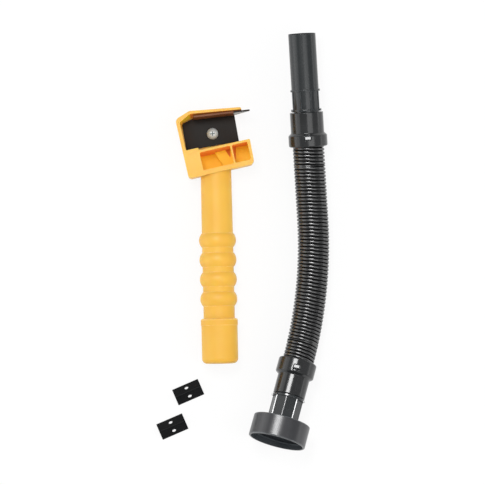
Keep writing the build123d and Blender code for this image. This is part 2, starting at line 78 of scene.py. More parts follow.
MM = 0.001
UP = Vector((0.0, 0.0, 1.0))
# Rounded edges get a lighter colour that is partly wear and partly a painted edge highlight.
WEAR_AND_HIGHLIGHT = "wear_and_highlight"              # the attribute that tells rounded edges from the rest
MERGED = 1e-4              # points nearer than this are one, in millimetres
ON_CUT = 1e-5              # points nearer than this to a saw cut lie on it
SHARP = 38.0               # degrees between two faces past which their edge shows

Point = tuple[float, float]
Corner = tuple[float, float, float]        # x, y and how far it is rounded
Line = tuple[list[bmesh.types.BMVert], list[bmesh.types.BMEdge]]


# ---- Places ----------------------------------------------------------------------------
def axes(x: Vector, y: Vector, z: Vector) -> Matrix:
    """Return the turn that lays x, y and z along three directions."""
    return Matrix((x, y, z)).transposed()


def heading(angle: float) -> Vector:
    """Return the level direction that lies at an angle from x, in degrees."""
    return Vector((cos(radians(angle)), sin(radians(angle)), 0.0))


@dataclass(frozen=True)
class Station:
    """A place in the frame with three directions: z along an axis, y up, x across.

    Args:
        origin: the place, in metres.
        across: the x direction.
        along: the z direction.
    """

    origin: Vector
    across: Vector
    along: Vector

    @classmethod
    def on_axis(cls, origin: Vector, along: Vector) -> "Station":
        """Return the station at origin whose z is along and whose y looks up."""
        return cls(origin, UP.cross(along).normalized(), along.normalized())

    @property
    def upward(self) -> Vector:
        """The y direction."""
        return self.along.cross(self.across)

    @property
    def matrix(self) -> Matrix:
        """The placing of a shape that was made in millimetres."""
        turn = axes(self.across, self.upward, self.along).to_4x4()
        return Matrix.Translation(self.origin) @ turn @ Matrix.Scale(MM, 4)

    def shifted(self, x: float = 0.0, y: float = 0.0, z: float = 0.0) -> "Station":
        """Return the station moved by millimetres along its own directions."""
        return Station(self.matrix @ Vector((x, y, z)), self.across, self.along)


def axis_of(entries: Iterable[dict], name: str) -> tuple[Vector, Vector]:
    """Find a joint or a mount.

    Args:
        entries: the frame's joints, or the record's mounts.
        name: its name.

    Returns:
        Its place in metres and its axis.
    """
    found = next(entry for entry in entries if entry["name"] == name)
    return Vector(found["pos_m"]), Vector(found["axis"]).normalized()


def joint(name: str) -> tuple[Vector, Vector]:
    """Return the place in metres and the axis of a joint."""
    return axis_of(frame["joints"], name)


# ---- Shaping ---------------------------------------------------------------------------
class Shape:
    """A mesh on the bench, in millimetres, with its axis along z."""

    def __init__(self) -> None:
        """Start with an empty mesh."""
        self.bm = bmesh.new()

    @property
    def parts(self) -> list[bmesh.types.BMVert | bmesh.types.BMEdge | bmesh.types.BMFace]:
        """All its points, edges and faces."""
        return [*self.bm.verts, *self.bm.edges, *self.bm.faces]

    def draw(self, points: Iterable[Point], closed: bool = True) -> Line:
        """Draw a line beside the axis.

        Args:
            points: its (radius, length) points.
            closed: whether the last point is joined to the first.

        Returns:
            The line.
        """
        verts = [self.bm.verts.new((radius, 0.0, length)) for radius, length in points]
        first = 0 if closed else 1
        edges = [self.bm.edges.new((verts[i - 1], verts[i])) for i in range(first, len(verts))]
        return verts, edges

    def wind(self, line: Line, pitch: float, turns: float, steps: int) -> list[bmesh.types.BMVert]:
        """Sweep a line along a screw thread.

        Args:
            line: the line, beside the axis.
            pitch: how far one turn rises.
            turns: of the thread.
            steps: sections in one turn.

        Returns:
            The points where it ends.
        """
        made = bmesh.ops.spin(self.bm, geom=line[0] + line[1], cent=(0, 0, 0), axis=(0, 0, 1),
                              dvec=(0, 0, pitch / steps), angle=2 * pi * turns,
                              steps=int(steps * turns))
        return [item for item in made["geom_last"] if isinstance(item, bmesh.types.BMVert)]

    def turn(self, outline: Sequence[Point], steps: int = 96) -> "Shape":
        """Turn a closed outline about the axis.

        Args:
            outline: (radius, length) points.
            steps: sections round the axis.

        Returns:
            This shape.
        """
        verts, edges = self.draw(outline)
        bmesh.ops.spin(self.bm, geom=verts + edges, cent=(0, 0, 0), axis=(0, 0, 1),
                       angle=2 * pi, steps=steps, use_merge=True)
        loose = [edge for edge in self.bm.edges if edge.is_wire]
        bmesh.ops.delete(self.bm, geom=loose, context="EDGES")
        return self.close()

    def prism(self, outline: Sequence[Point], depth: float, base: float = 0.0) -> "Shape":
        """Raise a flat outline into a solid.

        Args:
            outline: (x, y) points, anticlockwise.
            depth: how far it is raised.
            base: height it starts from.

        Returns:
            This shape.
        """
        verts = [self.bm.verts.new((x, y, base)) for x, y in outline]
        face = self.bm.faces.new(verts)
        raised = bmesh.ops.extrude_face_region(self.bm, geom=[face], use_keep_orig=True)
        top = [item for item in raised["geom"] if isinstance(item, bmesh.types.BMVert)]
        bmesh.ops.translate(self.bm, verts=top, vec=(0, 0, depth))
        return self.close()

    def block(self, size: Sequence[float], centre: Sequence[float], turn: float = 0.0) -> "Shape":
        """Add a rectangular block.

        Args:
            size: its three sides.
            centre: its middle.
            turn: degrees it is swung about the axis, after it is placed.

        Returns:
            This shape.
        """
        place = (Matrix.Rotation(radians(turn), 4, "Z") @ Matrix.Translation(centre)
                 @ Matrix.Diagonal((*size, 1.0)))
        bmesh.ops.create_cube(self.bm, size=1.0, matrix=place)
        return self

    def peg(self, radius: float, start: float, end: float, segments: int = 48) -> "Shape":
        """Add a round bar along the axis from start to end."""
        bmesh.ops.create_cone(self.bm, cap_ends=True, segments=segments, radius1=radius,
                              radius2=radius, depth=end - start,
                              matrix=Matrix.Translation((0, 0, (start + end) / 2)))
        return self

    def close(self) -> "Shape":
        """Merge doubled points and turn every face outwards."""
        bmesh.ops.remove_doubles(self.bm, verts=self.bm.verts, dist=MERGED)
        bmesh.ops.recalc_face_normals(self.bm, faces=self.bm.faces)
        return self

    def place(self, matrix: Matrix) -> "Shape":
        """Move the whole shape by a matrix."""
        bmesh.ops.transform(self.bm, matrix=matrix, verts=self.bm.verts)
        return self

    def cut_above(self, point: Vector, normal: Vector) -> "Shape":
        """Saw off what lies beyond a plane and close the cut.

        Args:
            point: a point of the plane.
            normal: the side that goes.

        Returns:
            This shape.
        """
        bmesh.ops.bisect_plane(self.bm, geom=self.parts, dist=ON_CUT, plane_co=point,
                               plane_no=normal, clear_outer=True)
        rim = [edge for edge in self.bm.edges if edge.is_boundary]
        bmesh.ops.holes_fill(self.bm, edges=rim, sides=0)
        bmesh.ops.recalc_face_normals(self.bm, faces=self.bm.faces)
        return self

    def soften(self, width: float, segments: int = 2, angle: float = 32.0,
               where: Callable[[bmesh.types.BMEdge], bool] | None = None) -> "Shape":
        """Round the edges and mark them for the lighter edge colour, which is partly wear and partly a painted
        highlight.

        Args:
            width: how far the rounding reaches from the edge.
            segments: steps of the rounding.
            angle: degrees past which an edge counts as one.
            where: a test that picks some of the edges.

        Returns:
            This shape.
        """
        wear_and_highlight = self.bm.loops.layers.float.get(WEAR_AND_HIGHLIGHT) or self.bm.loops.layers.float.new(WEAR_AND_HIGHLIGHT)
        edges = [edge for edge in self.bm.edges if edge.is_manifold
                 and edge.calc_face_angle() > radians(angle) and (where is None or where(edge))]
        made = bmesh.ops.bevel(self.bm, geom=edges, offset=width, offset_type="OFFSET",
                               segments=segments, profile=0.5, affect="EDGES",
                               clamp_overlap=True, material=-1)
        for face in made["faces"]:
            for loop in face.loops:
                loop[wear_and_highlight] = 1.0
        return self

    def mark(self, number: int, where: Callable[[bmesh.types.BMFace], bool]) -> "Shape":
        """Give the faces that pass a test the piece's finish of that number; 0 is the main."""
        for face in self.bm.faces:
            if where(face):
                face.material_index = number
        return self

    def combine(self, others: Iterable["Shape"], mode: str = "DIFFERENCE") -> "Shape":
        """Cut other shapes out of this one, or weld them to it.

        Args:
            others: the shapes, which are used up.
            mode: the boolean modifier's operation.

        Returns:
            This shape.
        """
        scene = bpy.context.scene
        blank = bpy.data.objects.new("blank", self.to_mesh("blank"))
        scene.collection.objects.link(blank)
        spent = [blank]
        for other in others:
            tool = bpy.data.objects.new("cutter", other.to_mesh("cutter"))
            scene.collection.objects.link(tool)
            carve = blank.modifiers.new("carve", "BOOLEAN")
            carve.operation = mode
            carve.solver = "EXACT"
            carve.object = tool
            spent.append(tool)
        bpy.context.view_layer.update()
        result = blank.evaluated_get(bpy.context.evaluated_depsgraph_get()).to_mesh()
        self.bm = bmesh.new()
        self.bm.from_mesh(result)
        for item in spent:
            mesh = item.data
            bpy.data.objects.remove(item)
            bpy.data.meshes.remove(mesh)
        bmesh.ops.dissolve_degenerate(self.bm, edges=self.bm.edges, dist=MERGED)
        bmesh.ops.dissolve_limit(self.bm, angle_limit=radians(0.5), verts=self.bm.verts,
                                 edges=self.bm.edges, use_dissolve_boundaries=False)
        return self.close()

    def join(self, other: "Shape") -> "Shape":
        """Lay another shape into this mesh as a shell of its own."""
        spare = other.to_mesh("spare")
        self.bm.from_mesh(spare)
        bpy.data.meshes.remove(spare)
        return self

    def to_mesh(self, name: str) -> bpy.types.Mesh:
        """Use up the shape and return it as a mesh."""
        mesh = bpy.data.meshes.new(name)
        self.bm.to_mesh(mesh)
        self.bm.free()
        return mesh


def spread_of(face: bmesh.types.BMFace) -> float:
    """Return how far the middle of a face lies from the axis."""
    return hypot(*face.calc_center_median().xy)


def arc(centre: Point, radius: float, start: float, end: float, steps: int) -> list[Point]:
    """Lay points on an arc.

    Args:
        centre: middle of the circle.
        radius: its radius.
        start: first angle, in degrees.
        end: last angle, in degrees.
        steps: number of parts.

    Returns:
        The points, both ends among them.
    """
    angles = [radians(start + (end - start) * i / steps) for i in range(steps + 1)]
    return [(centre[0] + radius * cos(a), centre[1] + radius * sin(a)) for a in angles]


def rounded(corners: Sequence[Corner], steps: int = 6) -> list[Point]:
    """Round the corners of a closed outline.

    Args:
        corners: its corners; a radius of 0 stays sharp.
        steps: number of parts of each rounding.

    Returns:
        The points of the outline.
    """
    points: list[Point] = []
    for number, (x, y, radius) in enumerate(corners):
        if not radius:
            points.append((x, y))
            continue
        here = Vector((x, y))
        before = (Vector(corners[number - 1][:2]) - here).normalized()
        after = (Vector(corners[(number + 1) % len(corners)][:2]) - here).normalized()
        half = before.angle(after) / 2
        middle = here + (before + after).normalized() * (radius / sin(half))
        first = here + before * (radius / tan(half)) - middle
        last = here + after * (radius / tan(half)) - middle
        for step in range(steps + 1):
            points.append(tuple(middle + first.lerp(last, step / steps).normalized() * radius))
    return points


def eased(start: Point, end: Point, steps: int) -> list[Point]:
    """Lay points on an S-shaped shoulder between two (radius, length) points.

    Args:
        start: where the shoulder starts, running along the axis.
        end: where it ends, running along the axis again.
        steps: number of parts.

    Returns:
        The points, both ends among them.
    """
    across, along = end[0] - start[0], end[1] - start[1]
    shares = [i / steps for i in range(steps + 1)]
    return [(start[0] + across * t * t * (3 - 2 * t), start[1] + along * t) for t in shares]


def finished(name: str, shape: Shape, station: Station, finishes: Sequence["Finish"], body: str,
             stands_for: Sequence[str]) -> None:
    """Set a shape down in the frame as a piece of the object.

    Args:
        name: the piece's name.
        shape: its mesh, which is used up.
        station: where it stands.
        finishes: what it is made of, and the finishes of its marked faces.
        body: the body it rides on.
        stands_for: the nodes that it replaces.
    """
    piece = loose_piece(name, shape.place(station.matrix), finishes)
    piece.modifiers.new("even_shading", "WEIGHTED_NORMAL").keep_sharp = True
    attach(piece, body)
    declare(piece, stands_for)


def loose_piece(name: str, shape: Shape, finishes: Sequence["Finish"]) -> bpy.types.Object:
    """Turn a placed shape into an object with its finishes.

    Args:
        name: the object's name.
        shape: its mesh in the frame, which is used up.
        finishes: what it is made of, and the finishes of its marked faces.

    Returns:
        The object, riding on nothing yet.
    """
    mesh = shape.to_mesh(name)
    mesh.polygons.foreach_set("use_smooth", [True] * len(mesh.polygons))
    mesh.set_sharp_from_angle(angle=radians(SHARP))
    for finish in finishes:
        mesh.materials.append(finish.material())
    piece = bpy.data.objects.new(name, mesh)
    bpy.context.scene.collection.objects.link(piece)
    return piece


def declare(piece: bpy.types.Object, stands_for: Sequence[str]) -> None:
    """Hide the nodes that a piece replaces, and report the piece."""
    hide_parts(*stands_for)
    log.info("%-22s %6d faces", piece.name, len(piece.data.polygons))


# ---- Finishes --------------------------------------------------------------------------
Colour = tuple[float, float, float, float]


def paint(code: str) -> Colour:
    """Turn a colour code of six hexadecimal digits into linear light."""
    parts = [int(code[i:i + 2], 16) / 255 for i in (0, 2, 4)]
    linear = [p / 12.92 if p <= 0.04045 else ((p + 0.055) / 1.055) ** 2.4 for p in parts]
    return (linear[0], linear[1], linear[2], 1.0)


class Wiring:
    """Nodes of one tree, added and linked in few words."""

    def __init__(self, tree: bpy.types.NodeTree) -> None:
        """Work on a node tree."""
        self.tree = tree

    def add(self, kind: str, sockets: dict[str, object] | None = None,
            **settings: object) -> bpy.types.Node:
        """Add a node.

        Args:
            kind: its type, without the ShaderNode in front.
            sockets: a value, or the socket that feeds it, for each named input.
            settings: the node's own settings.

        Returns:
            The node.
        """
        node = self.tree.nodes.new(kind if kind.startswith("Node") else "ShaderNode" + kind)
        for key, value in settings.items():
            setattr(node, key, value)
        for key, value in (sockets or {}).items():
            self.feed(node.inputs[key], value)
        return node

    def feed(self, socket: bpy.types.NodeSocket, value: object) -> None:
        """Give an input a value, or link it to the output that feeds it."""
        if isinstance(value, bpy.types.NodeSocket):
            self.tree.links.new(value, socket)
        else:
            socket.default_value = value

    def blend(self, share: object, first: object, second: object) -> bpy.types.NodeSocket:
        """Mix two colours and return the mixture."""
        node = self.add("Mix", data_type="RGBA")
        for number, value in ((0, share), (6, first), (7, second)):
            self.feed(node.inputs[number], value)
        return node.outputs[2]

    def sum(self, operation: str, first: object, second: object) -> bpy.types.NodeSocket:
        """Work out a sum of two numbers, kept between 0 and 1, and return it."""
        node = self.add("Math", operation=operation, use_clamp=True)
        self.feed(node.inputs[0], first)
        self.feed(node.inputs[1], second)
        return node.outputs[0]

    def spread(self, value: object, low: float, high: float, to_low: float, to_high: float,
               ) -> bpy.types.NodeSocket:
        """Stretch a number from one range to another and return it."""
        node = self.add("MapRange", {"Value": value, "From Min": low, "From Max": high,
                                     "To Min": to_low, "To Max": to_high})
        return node.outputs["Result"]


class Effect(Enum):
    """The effects that several finishes share."""

    GRAIN = "moulded_grain"
    EDGES = "worn_and_highlit_edges"
    MARKS = "handling_marks"


SOCKETS = {
    Effect.GRAIN: ([("Place", "Vector"), ("Grain Size", "Float"), ("Patch Size", "Float")],
                   [("Height", "Float"), ("Patch", "Float")]),
    Effect.EDGES: ([("Place", "Vector"), ("Colour", "Color"), ("Bare And Highlight Colour", "Color"),
                    ("Amount", "Float")],
                   [("Colour", "Color"), ("Mask", "Float")]),
    Effect.MARKS: ([("Place", "Vector"), ("Size", "Float"), ("Amount", "Float")],
                   [("Mask", "Float")]),
}


def effect_group(effect: Effect) -> bpy.types.NodeTree:
    """Return the node group of a shared effect, made at its first use.

    Args:
        effect: which one.

    Returns:
        The group.
    """
    ready = bpy.data.node_groups.get(effect.value)
    if ready:
        return ready
    group = bpy.data.node_groups.new(effect.value, "ShaderNodeTree")
    for way, sockets in zip(("INPUT", "OUTPUT"), SOCKETS[effect]):
        for name, kind in sockets:
            group.interface.new_socket(name, in_out=way, socket_type="NodeSocket" + kind)
    wiring = Wiring(group)
    given = wiring.add("NodeGroupInput").outputs
    result = wiring.add("NodeGroupOutput").inputs
    WIRE[effect](wiring, given, result)
    return group


def wire_grain(wiring: Wiring, given: bpy.types.NodeOutputs, result: bpy.types.NodeInputs) -> None:
    """Make the fine skin of a mould, and the wide patches where its gloss changes."""
    fine = wiring.add("TexNoise", {"Vector": given["Place"], "Scale": given["Grain Size"],
                                   "Detail": 4.0, "Roughness": 0.55})
    wide = wiring.add("TexNoise", {"Vector": given["Place"], "Scale": given["Patch Size"],
                                   "Detail": 2.0, "Roughness": 0.5})
    wiring.feed(result["Height"], fine.outputs[0])
    wiring.feed(result["Patch"], wiring.spread(wide.outputs[0], 0.3, 0.7, 0.0, 1.0))


def wire_worn_and_highlit_edges(wiring: Wiring, given: bpy.types.NodeOutputs, result: bpy.types.NodeInputs) -> None:
    """Lighten the rounded edges in broken stretches: partly wear where handling rubs them, partly a painted edge
    highlight.
    """
    edge = wiring.add("Attribute", attribute_name=WEAR_AND_HIGHLIGHT)
    breaks = wiring.add("TexNoise", {"Vector": given["Place"], "Scale": 160.0, "Detail": 5.0,
                                     "Roughness": 0.65})
    broken = wiring.spread(breaks.outputs[0], 0.38, 0.62, 0.15, 1.0)
    worn_and_highlit = wiring.sum("MULTIPLY", edge.outputs["Fac"], broken)
    mask = wiring.sum("MULTIPLY", worn_and_highlit, given["Amount"])
    wiring.feed(result["Colour"], wiring.blend(mask, given["Colour"], given["Bare And Highlight Colour"]))
    wiring.feed(result["Mask"], mask)


def wire_marks(wiring: Wiring, given: bpy.types.NodeOutputs, result: bpy.types.NodeInputs) -> None:
    """Draw short fine scuffs that run in two directions."""
    masks = []
    for turn, stretch in ((0.5, (1.0, 14.0, 1.0)), (-0.9, (11.0, 1.0, 1.0))):
        turned = wiring.add("Mapping", {"Vector": given["Place"], "Rotation": (0.2, 0.1, turn),
                                        "Scale": stretch})
        line = wiring.add("TexNoise", {"Vector": turned.outputs[0], "Scale": given["Size"],
                                       "Detail": 3.0, "Roughness": 0.7})
        masks.append(wiring.spread(line.outputs[0], 0.66, 0.74, 0.0, 1.0))
    both = wiring.sum("MAXIMUM", *masks)
    wiring.feed(result["Mask"], wiring.sum("MULTIPLY", both, given["Amount"]))


WIRE = {Effect.GRAIN: wire_grain, Effect.EDGES: wire_worn_and_highlit_edges, Effect.MARKS: wire_marks}


LUMPS_IN_PATCH = 24.0      # how much wider a patch of the gloss is than a lump of the grain
LUMPS_IN_SCUFF = 9.0       # and how much wider a scuff is
SCUFF_PALE = 0.35          # how far a scuff goes towards the rubbed colour
SCUFF_DULL = 0.3           # how much rougher it is
SKIN_TINT = (1.0, 0.5, 0.12)   # reach of red, green and blue light inside a pale plastic


@dataclass(frozen=True)
class Finish:
    """A surface: its colours, its gloss and the marks on it.

    Args:
        name: the material's name.
        colour: its main colour.
        patch_colour: the colour that it drifts towards in wide patches.
        bare_and_highlight_colour: the colour of a rubbed edge, also used as a painted edge highlight.
        roughness: of the smooth places.
        rough_spread: how much rougher the patches are.
        grain: lumps of the fine grain in a metre.
        bump: height of the grain, in metres.
        wear_and_highlight: how strongly the edges are rubbed and lit with that painted highlight.
        scuffs: how strongly the scuffs show.
        metallic: 1 for bare metal.
        coat: weight of a clear gloss over it.
        coat_roughness: how dull that gloss is.
        ior: how strongly the surface mirrors.
        glow: share of the light that passes through the skin and comes out again.
        glow_reach: how far that light travels, in metres.
        lit: how strongly its colour glows as painted light, standing in for light that shines through from behind.
    """

    name: str
    colour: str
    patch_colour: str
    bare_and_highlight_colour: str
    roughness: float
    rough_spread: float = 0.08
    grain: float = 900.0
    bump: float = 0.00002
    wear_and_highlight: float = 0.5
    scuffs: float = 0.3
    metallic: float = 0.0
    coat: float = 0.0
    coat_roughness: float = 0.1
    ior: float = 1.5
    glow: float = 0.0
    glow_reach: float = 0.002
    lit: float = 0.0

    def material(self) -> bpy.types.Material:
        """Return the material, made at its first use."""
        ready = bpy.data.materials.get(self.name)
        if ready:
            return ready
        material = bpy.data.materials.new(self.name)
        material.use_nodes = True
        wiring = Wiring(material.node_tree)
        shader = material.node_tree.nodes["Principled BSDF"]
        place = wiring.add("TexCoord").outputs["Object"]
        grain = self.effect(wiring, Effect.GRAIN, {"Place": place, "Grain Size": self.grain,
                                                   "Patch Size": self.grain / LUMPS_IN_PATCH})
        drift = wiring.blend(grain["Patch"], paint(self.colour), paint(self.patch_colour))
        edges = self.effect(wiring, Effect.EDGES, {"Place": place, "Colour": drift,
                                                   "Bare And Highlight Colour": paint(self.bare_and_highlight_colour),
                                                   "Amount": self.wear_and_highlight})
        marks = self.effect(wiring, Effect.MARKS, {"Place": place,
                                                   "Size": self.grain / LUMPS_IN_SCUFF,
                                                   "Amount": self.scuffs})
        colour = wiring.blend(wiring.sum("MULTIPLY", marks["Mask"], SCUFF_PALE), edges["Colour"],
                              paint(self.bare_and_highlight_colour))
        dull = wiring.spread(grain["Patch"], 0.0, 1.0, self.roughness,
                             self.roughness + self.rough_spread)
        dull = wiring.sum("ADD", dull, wiring.sum("MULTIPLY", marks["Mask"], SCUFF_DULL))
        bump = wiring.add("Bump", {"Height": grain["Height"], "Strength": 1.0,
                                   "Distance": self.bump})
        wiring.feed(shader.inputs["Base Color"], colour)
        wiring.feed(shader.inputs["Roughness"], dull)
        wiring.feed(shader.inputs["Normal"], bump.outputs[0])
        # Painted glow: the finish emits its own colour at the strength lit.
        wiring.feed(shader.inputs["Emission Color"], drift)
        for socket, value in (("Metallic", self.metallic), ("IOR", self.ior),
                              ("Emission Strength", self.lit), ("Coat Weight", self.coat),
                              ("Coat Roughness", self.coat_roughness),
                              ("Subsurface Weight", self.glow),
                              ("Subsurface Scale", self.glow_reach),
                              ("Subsurface Radius", SKIN_TINT)):
            shader.inputs[socket].default_value = value
        return material

    @staticmethod
    def effect(wiring: Wiring, effect: Effect,
               sockets: dict[str, object]) -> bpy.types.NodeOutputs:
        """Place a shared effect in a material and return its outputs."""
        node = wiring.add("Group", node_tree=effect_group(effect))
        for key, value in sockets.items():
            wiring.feed(node.inputs[key], value)
        return node.outputs

    def dress(self, *nodes: str) -> None:
        """Give this finish to nodes of the frame that are shown as they are."""
        for node in nodes:
            for slot in frame["nodes"][node].material_slots:
                slot.material = self.material()


SATIN_BLACK = Finish("satin_black_plastic", "1A1E20", "202426", "5A5F63", 0.22, rough_spread=0.06,
                     bump=0.00001, ior=1.53)
GLOSS_BLACK = Finish("gloss_black_plastic", "1E1F20", "252627", "565B5F", 0.17, rough_spread=0.05,
                     bump=0.000006, coat=0.12, coat_roughness=0.08, ior=1.47)
CAP_BLACK = Finish("cap_black_plastic", "252629", "2A2B2E", "70767A", 0.28, rough_spread=0.05,
                   bump=0.000006, ior=1.62)
HOSE_BLACK = Finish("hose_black_plastic", "0F1011", "151617", "50555A", 0.23, bump=0.000006,
                    ior=1.85)
# Painted shade: near-black, dull colour for the rib flanks down in the hose's grooves.
HOSE_GROOVE_SHADE = Finish("hose_black_painted_groove_shade", "080809", "0C0C0D", "202224", 0.55, wear_and_highlight=0.2,
                     ior=1.12)
# Painted light: the cap's black plastic made lighter and duller for the inside of the cap and its thread.
CAP_INSIDE_PAINTED_LIGHT = Finish("cap_black_painted_lighter_inside", "363B3F", "3C4145", "5E6468", 0.45, wear_and_highlight=0.3, ior=1.4)
INSERT_BLACK = Finish("insert_black_plastic", "303438", "373B3F", "565B5F", 0.42)
RIB_BLACK = Finish("rib_black_plastic", "1C1E20", "232628", "5A5F63", 0.13, bump=0.000004,
                   coat=0.5, coat_roughness=0.05)
# Painted shade: near-black, dull, barely mirroring colour inside the spout's bore and on the necks' rib side walls
# as shadow lines.
BORE_AND_RIB_SIDE_SHADE = Finish("black_painted_shade_in_bores_and_rib_sides", "060607", "0A0A0B", "101011", 0.85, ior=1.05)
SEAL_BLACK = Finish("seal_black_rubber", "18191A", "202122", "303132", 0.6, wear_and_highlight=0.1)
RING_ZINC = Finish("ring_zinc", "B9BDBF", "A5A9AC", "D5D8DA", 0.32, metallic=1.0, wear_and_highlight=0.3)
TOOL_YELLOW = Finish("tool_yellow_plastic", "E6B547", "E2AD40", "FFE3A6", 0.42, grain=700.0,
                     wear_and_highlight=0.6, scuffs=0.15, glow=0.4, glow_reach=0.004, ior=1.42)
# Painted light: brighter, deeper yellow with a painted glow for the jaw's pockets and the hook's inner walls.
HOLLOW_PAINTED_LIGHT = Finish("tool_yellow_painted_light_in_hollows", "F0C430", "EBB92C", "FFC65A", 0.5, grain=700.0,
                       wear_and_highlight=0.4, scuffs=0.1, glow=0.2, glow_reach=0.003, ior=1.3, lit=0.12)
# Painted shade: orange-red for the pockets' far walls, the slots and the hook's top wall, with a faint painted
# glow.
POCKET_SHADE = Finish("tool_yellow_in_shade", "E88A3C", "DE7E34", "F0A050", 0.5, grain=700.0,
                      wear_and_highlight=0.3, scuffs=0.1, ior=1.25, lit=0.14)
BLADE_BLACK = Finish("blade_blacked_steel", "191512", "251E19", "5D5650", 0.4, rough_spread=0.16,
                     wear_and_highlight=0.5, scuffs=0.5, ior=1.2)
# Painted shade and reflection: warm brown on the front leg under the yellow hook.
BLADE_PAINTED_BROWN = Finish("blade_steel_painted_hook_shade_and_reflection", "7A4A2A", "65391F", "9A6E44", 0.42, wear_and_highlight=0.4,
                     ior=1.25)
# Ground steel of the point, given a pale non-metal colour that paints in its reflection of the white table.
BLADE_GROUND_AND_PAINTED_SHEEN = Finish("blade_ground_steel_painted_pale", "B2B4B1", "9FA19F", "D9DBDA", 0.4, wear_and_highlight=0.5)
SPARE_BLACK = Finish("spare_blacked_steel", "101112", "161718", "3A3B3C", 0.42, wear_and_highlight=0.3, ior=1.16)
SCREW_ZINC = Finish("screw_zinc", "DDE1DF", "C9CECB", "F6F8F7", 0.36, metallic=0.3, wear_and_highlight=0.5)
# Painted shade: darker, duller zinc for the cross recess.
SCREW_RECESS_SHADE = Finish("screw_zinc_painted_shade_in_recess", "6A706E", "555A59", "8A908E", 0.6, metallic=0.3)
NUT_ZINC = Finish("nut_zinc", "C4C7C9", "AEB1B4", "E4E6E7", 0.3, metallic=1.0, wear_and_highlight=0.3)


# ---- Studio ----------------------------------------------------------------------------
@dataclass
class Lamp:
    """A soft lamp over the table.

    Args:
        name: its name.
        turn: degrees it stands to the right of straight overhead, seen along the table.
        lean: degrees it stands towards the far end of the table.
        distance: metres from the middle of the table.
        size: metres across and along.
        brightness: of its face, where 1 is white.
        mirrored: whether shiny surfaces mirror its face.
        lights: whether it lights dull surfaces.
    """

    name: str
    turn: float
    lean: float
    distance: float
    size: tuple[float, float]
    brightness: float
    mirrored: bool = True
    lights: bool = True

    def build(self, middle: Vector) -> None:
        """Hang the lamp so that it looks at the middle of the table."""
        light = bpy.data.lights.new(self.name, "AREA")
        light.shape = "RECTANGLE"
        light.size, light.size_y = self.size
        light.energy = self.brightness * pi * self.size[0] * self.size[1]
        lamp = bpy.data.objects.new(self.name, light)
        lamp.visible_glossy = self.mirrored
        lamp.visible_diffuse = self.lights
        turn, lean = radians(self.turn), radians(self.lean)
        way = Vector((sin(turn) * cos(lean), sin(lean), cos(turn) * cos(lean)))
        lamp.location = middle + way * self.distance
        across = Vector((0.0, 1.0, 0.0)).cross(way).normalized()
        lamp.rotation_euler = axes(across, way.cross(across), way).to_euler()
        bpy.context.scene.collection.objects.link(lamp)


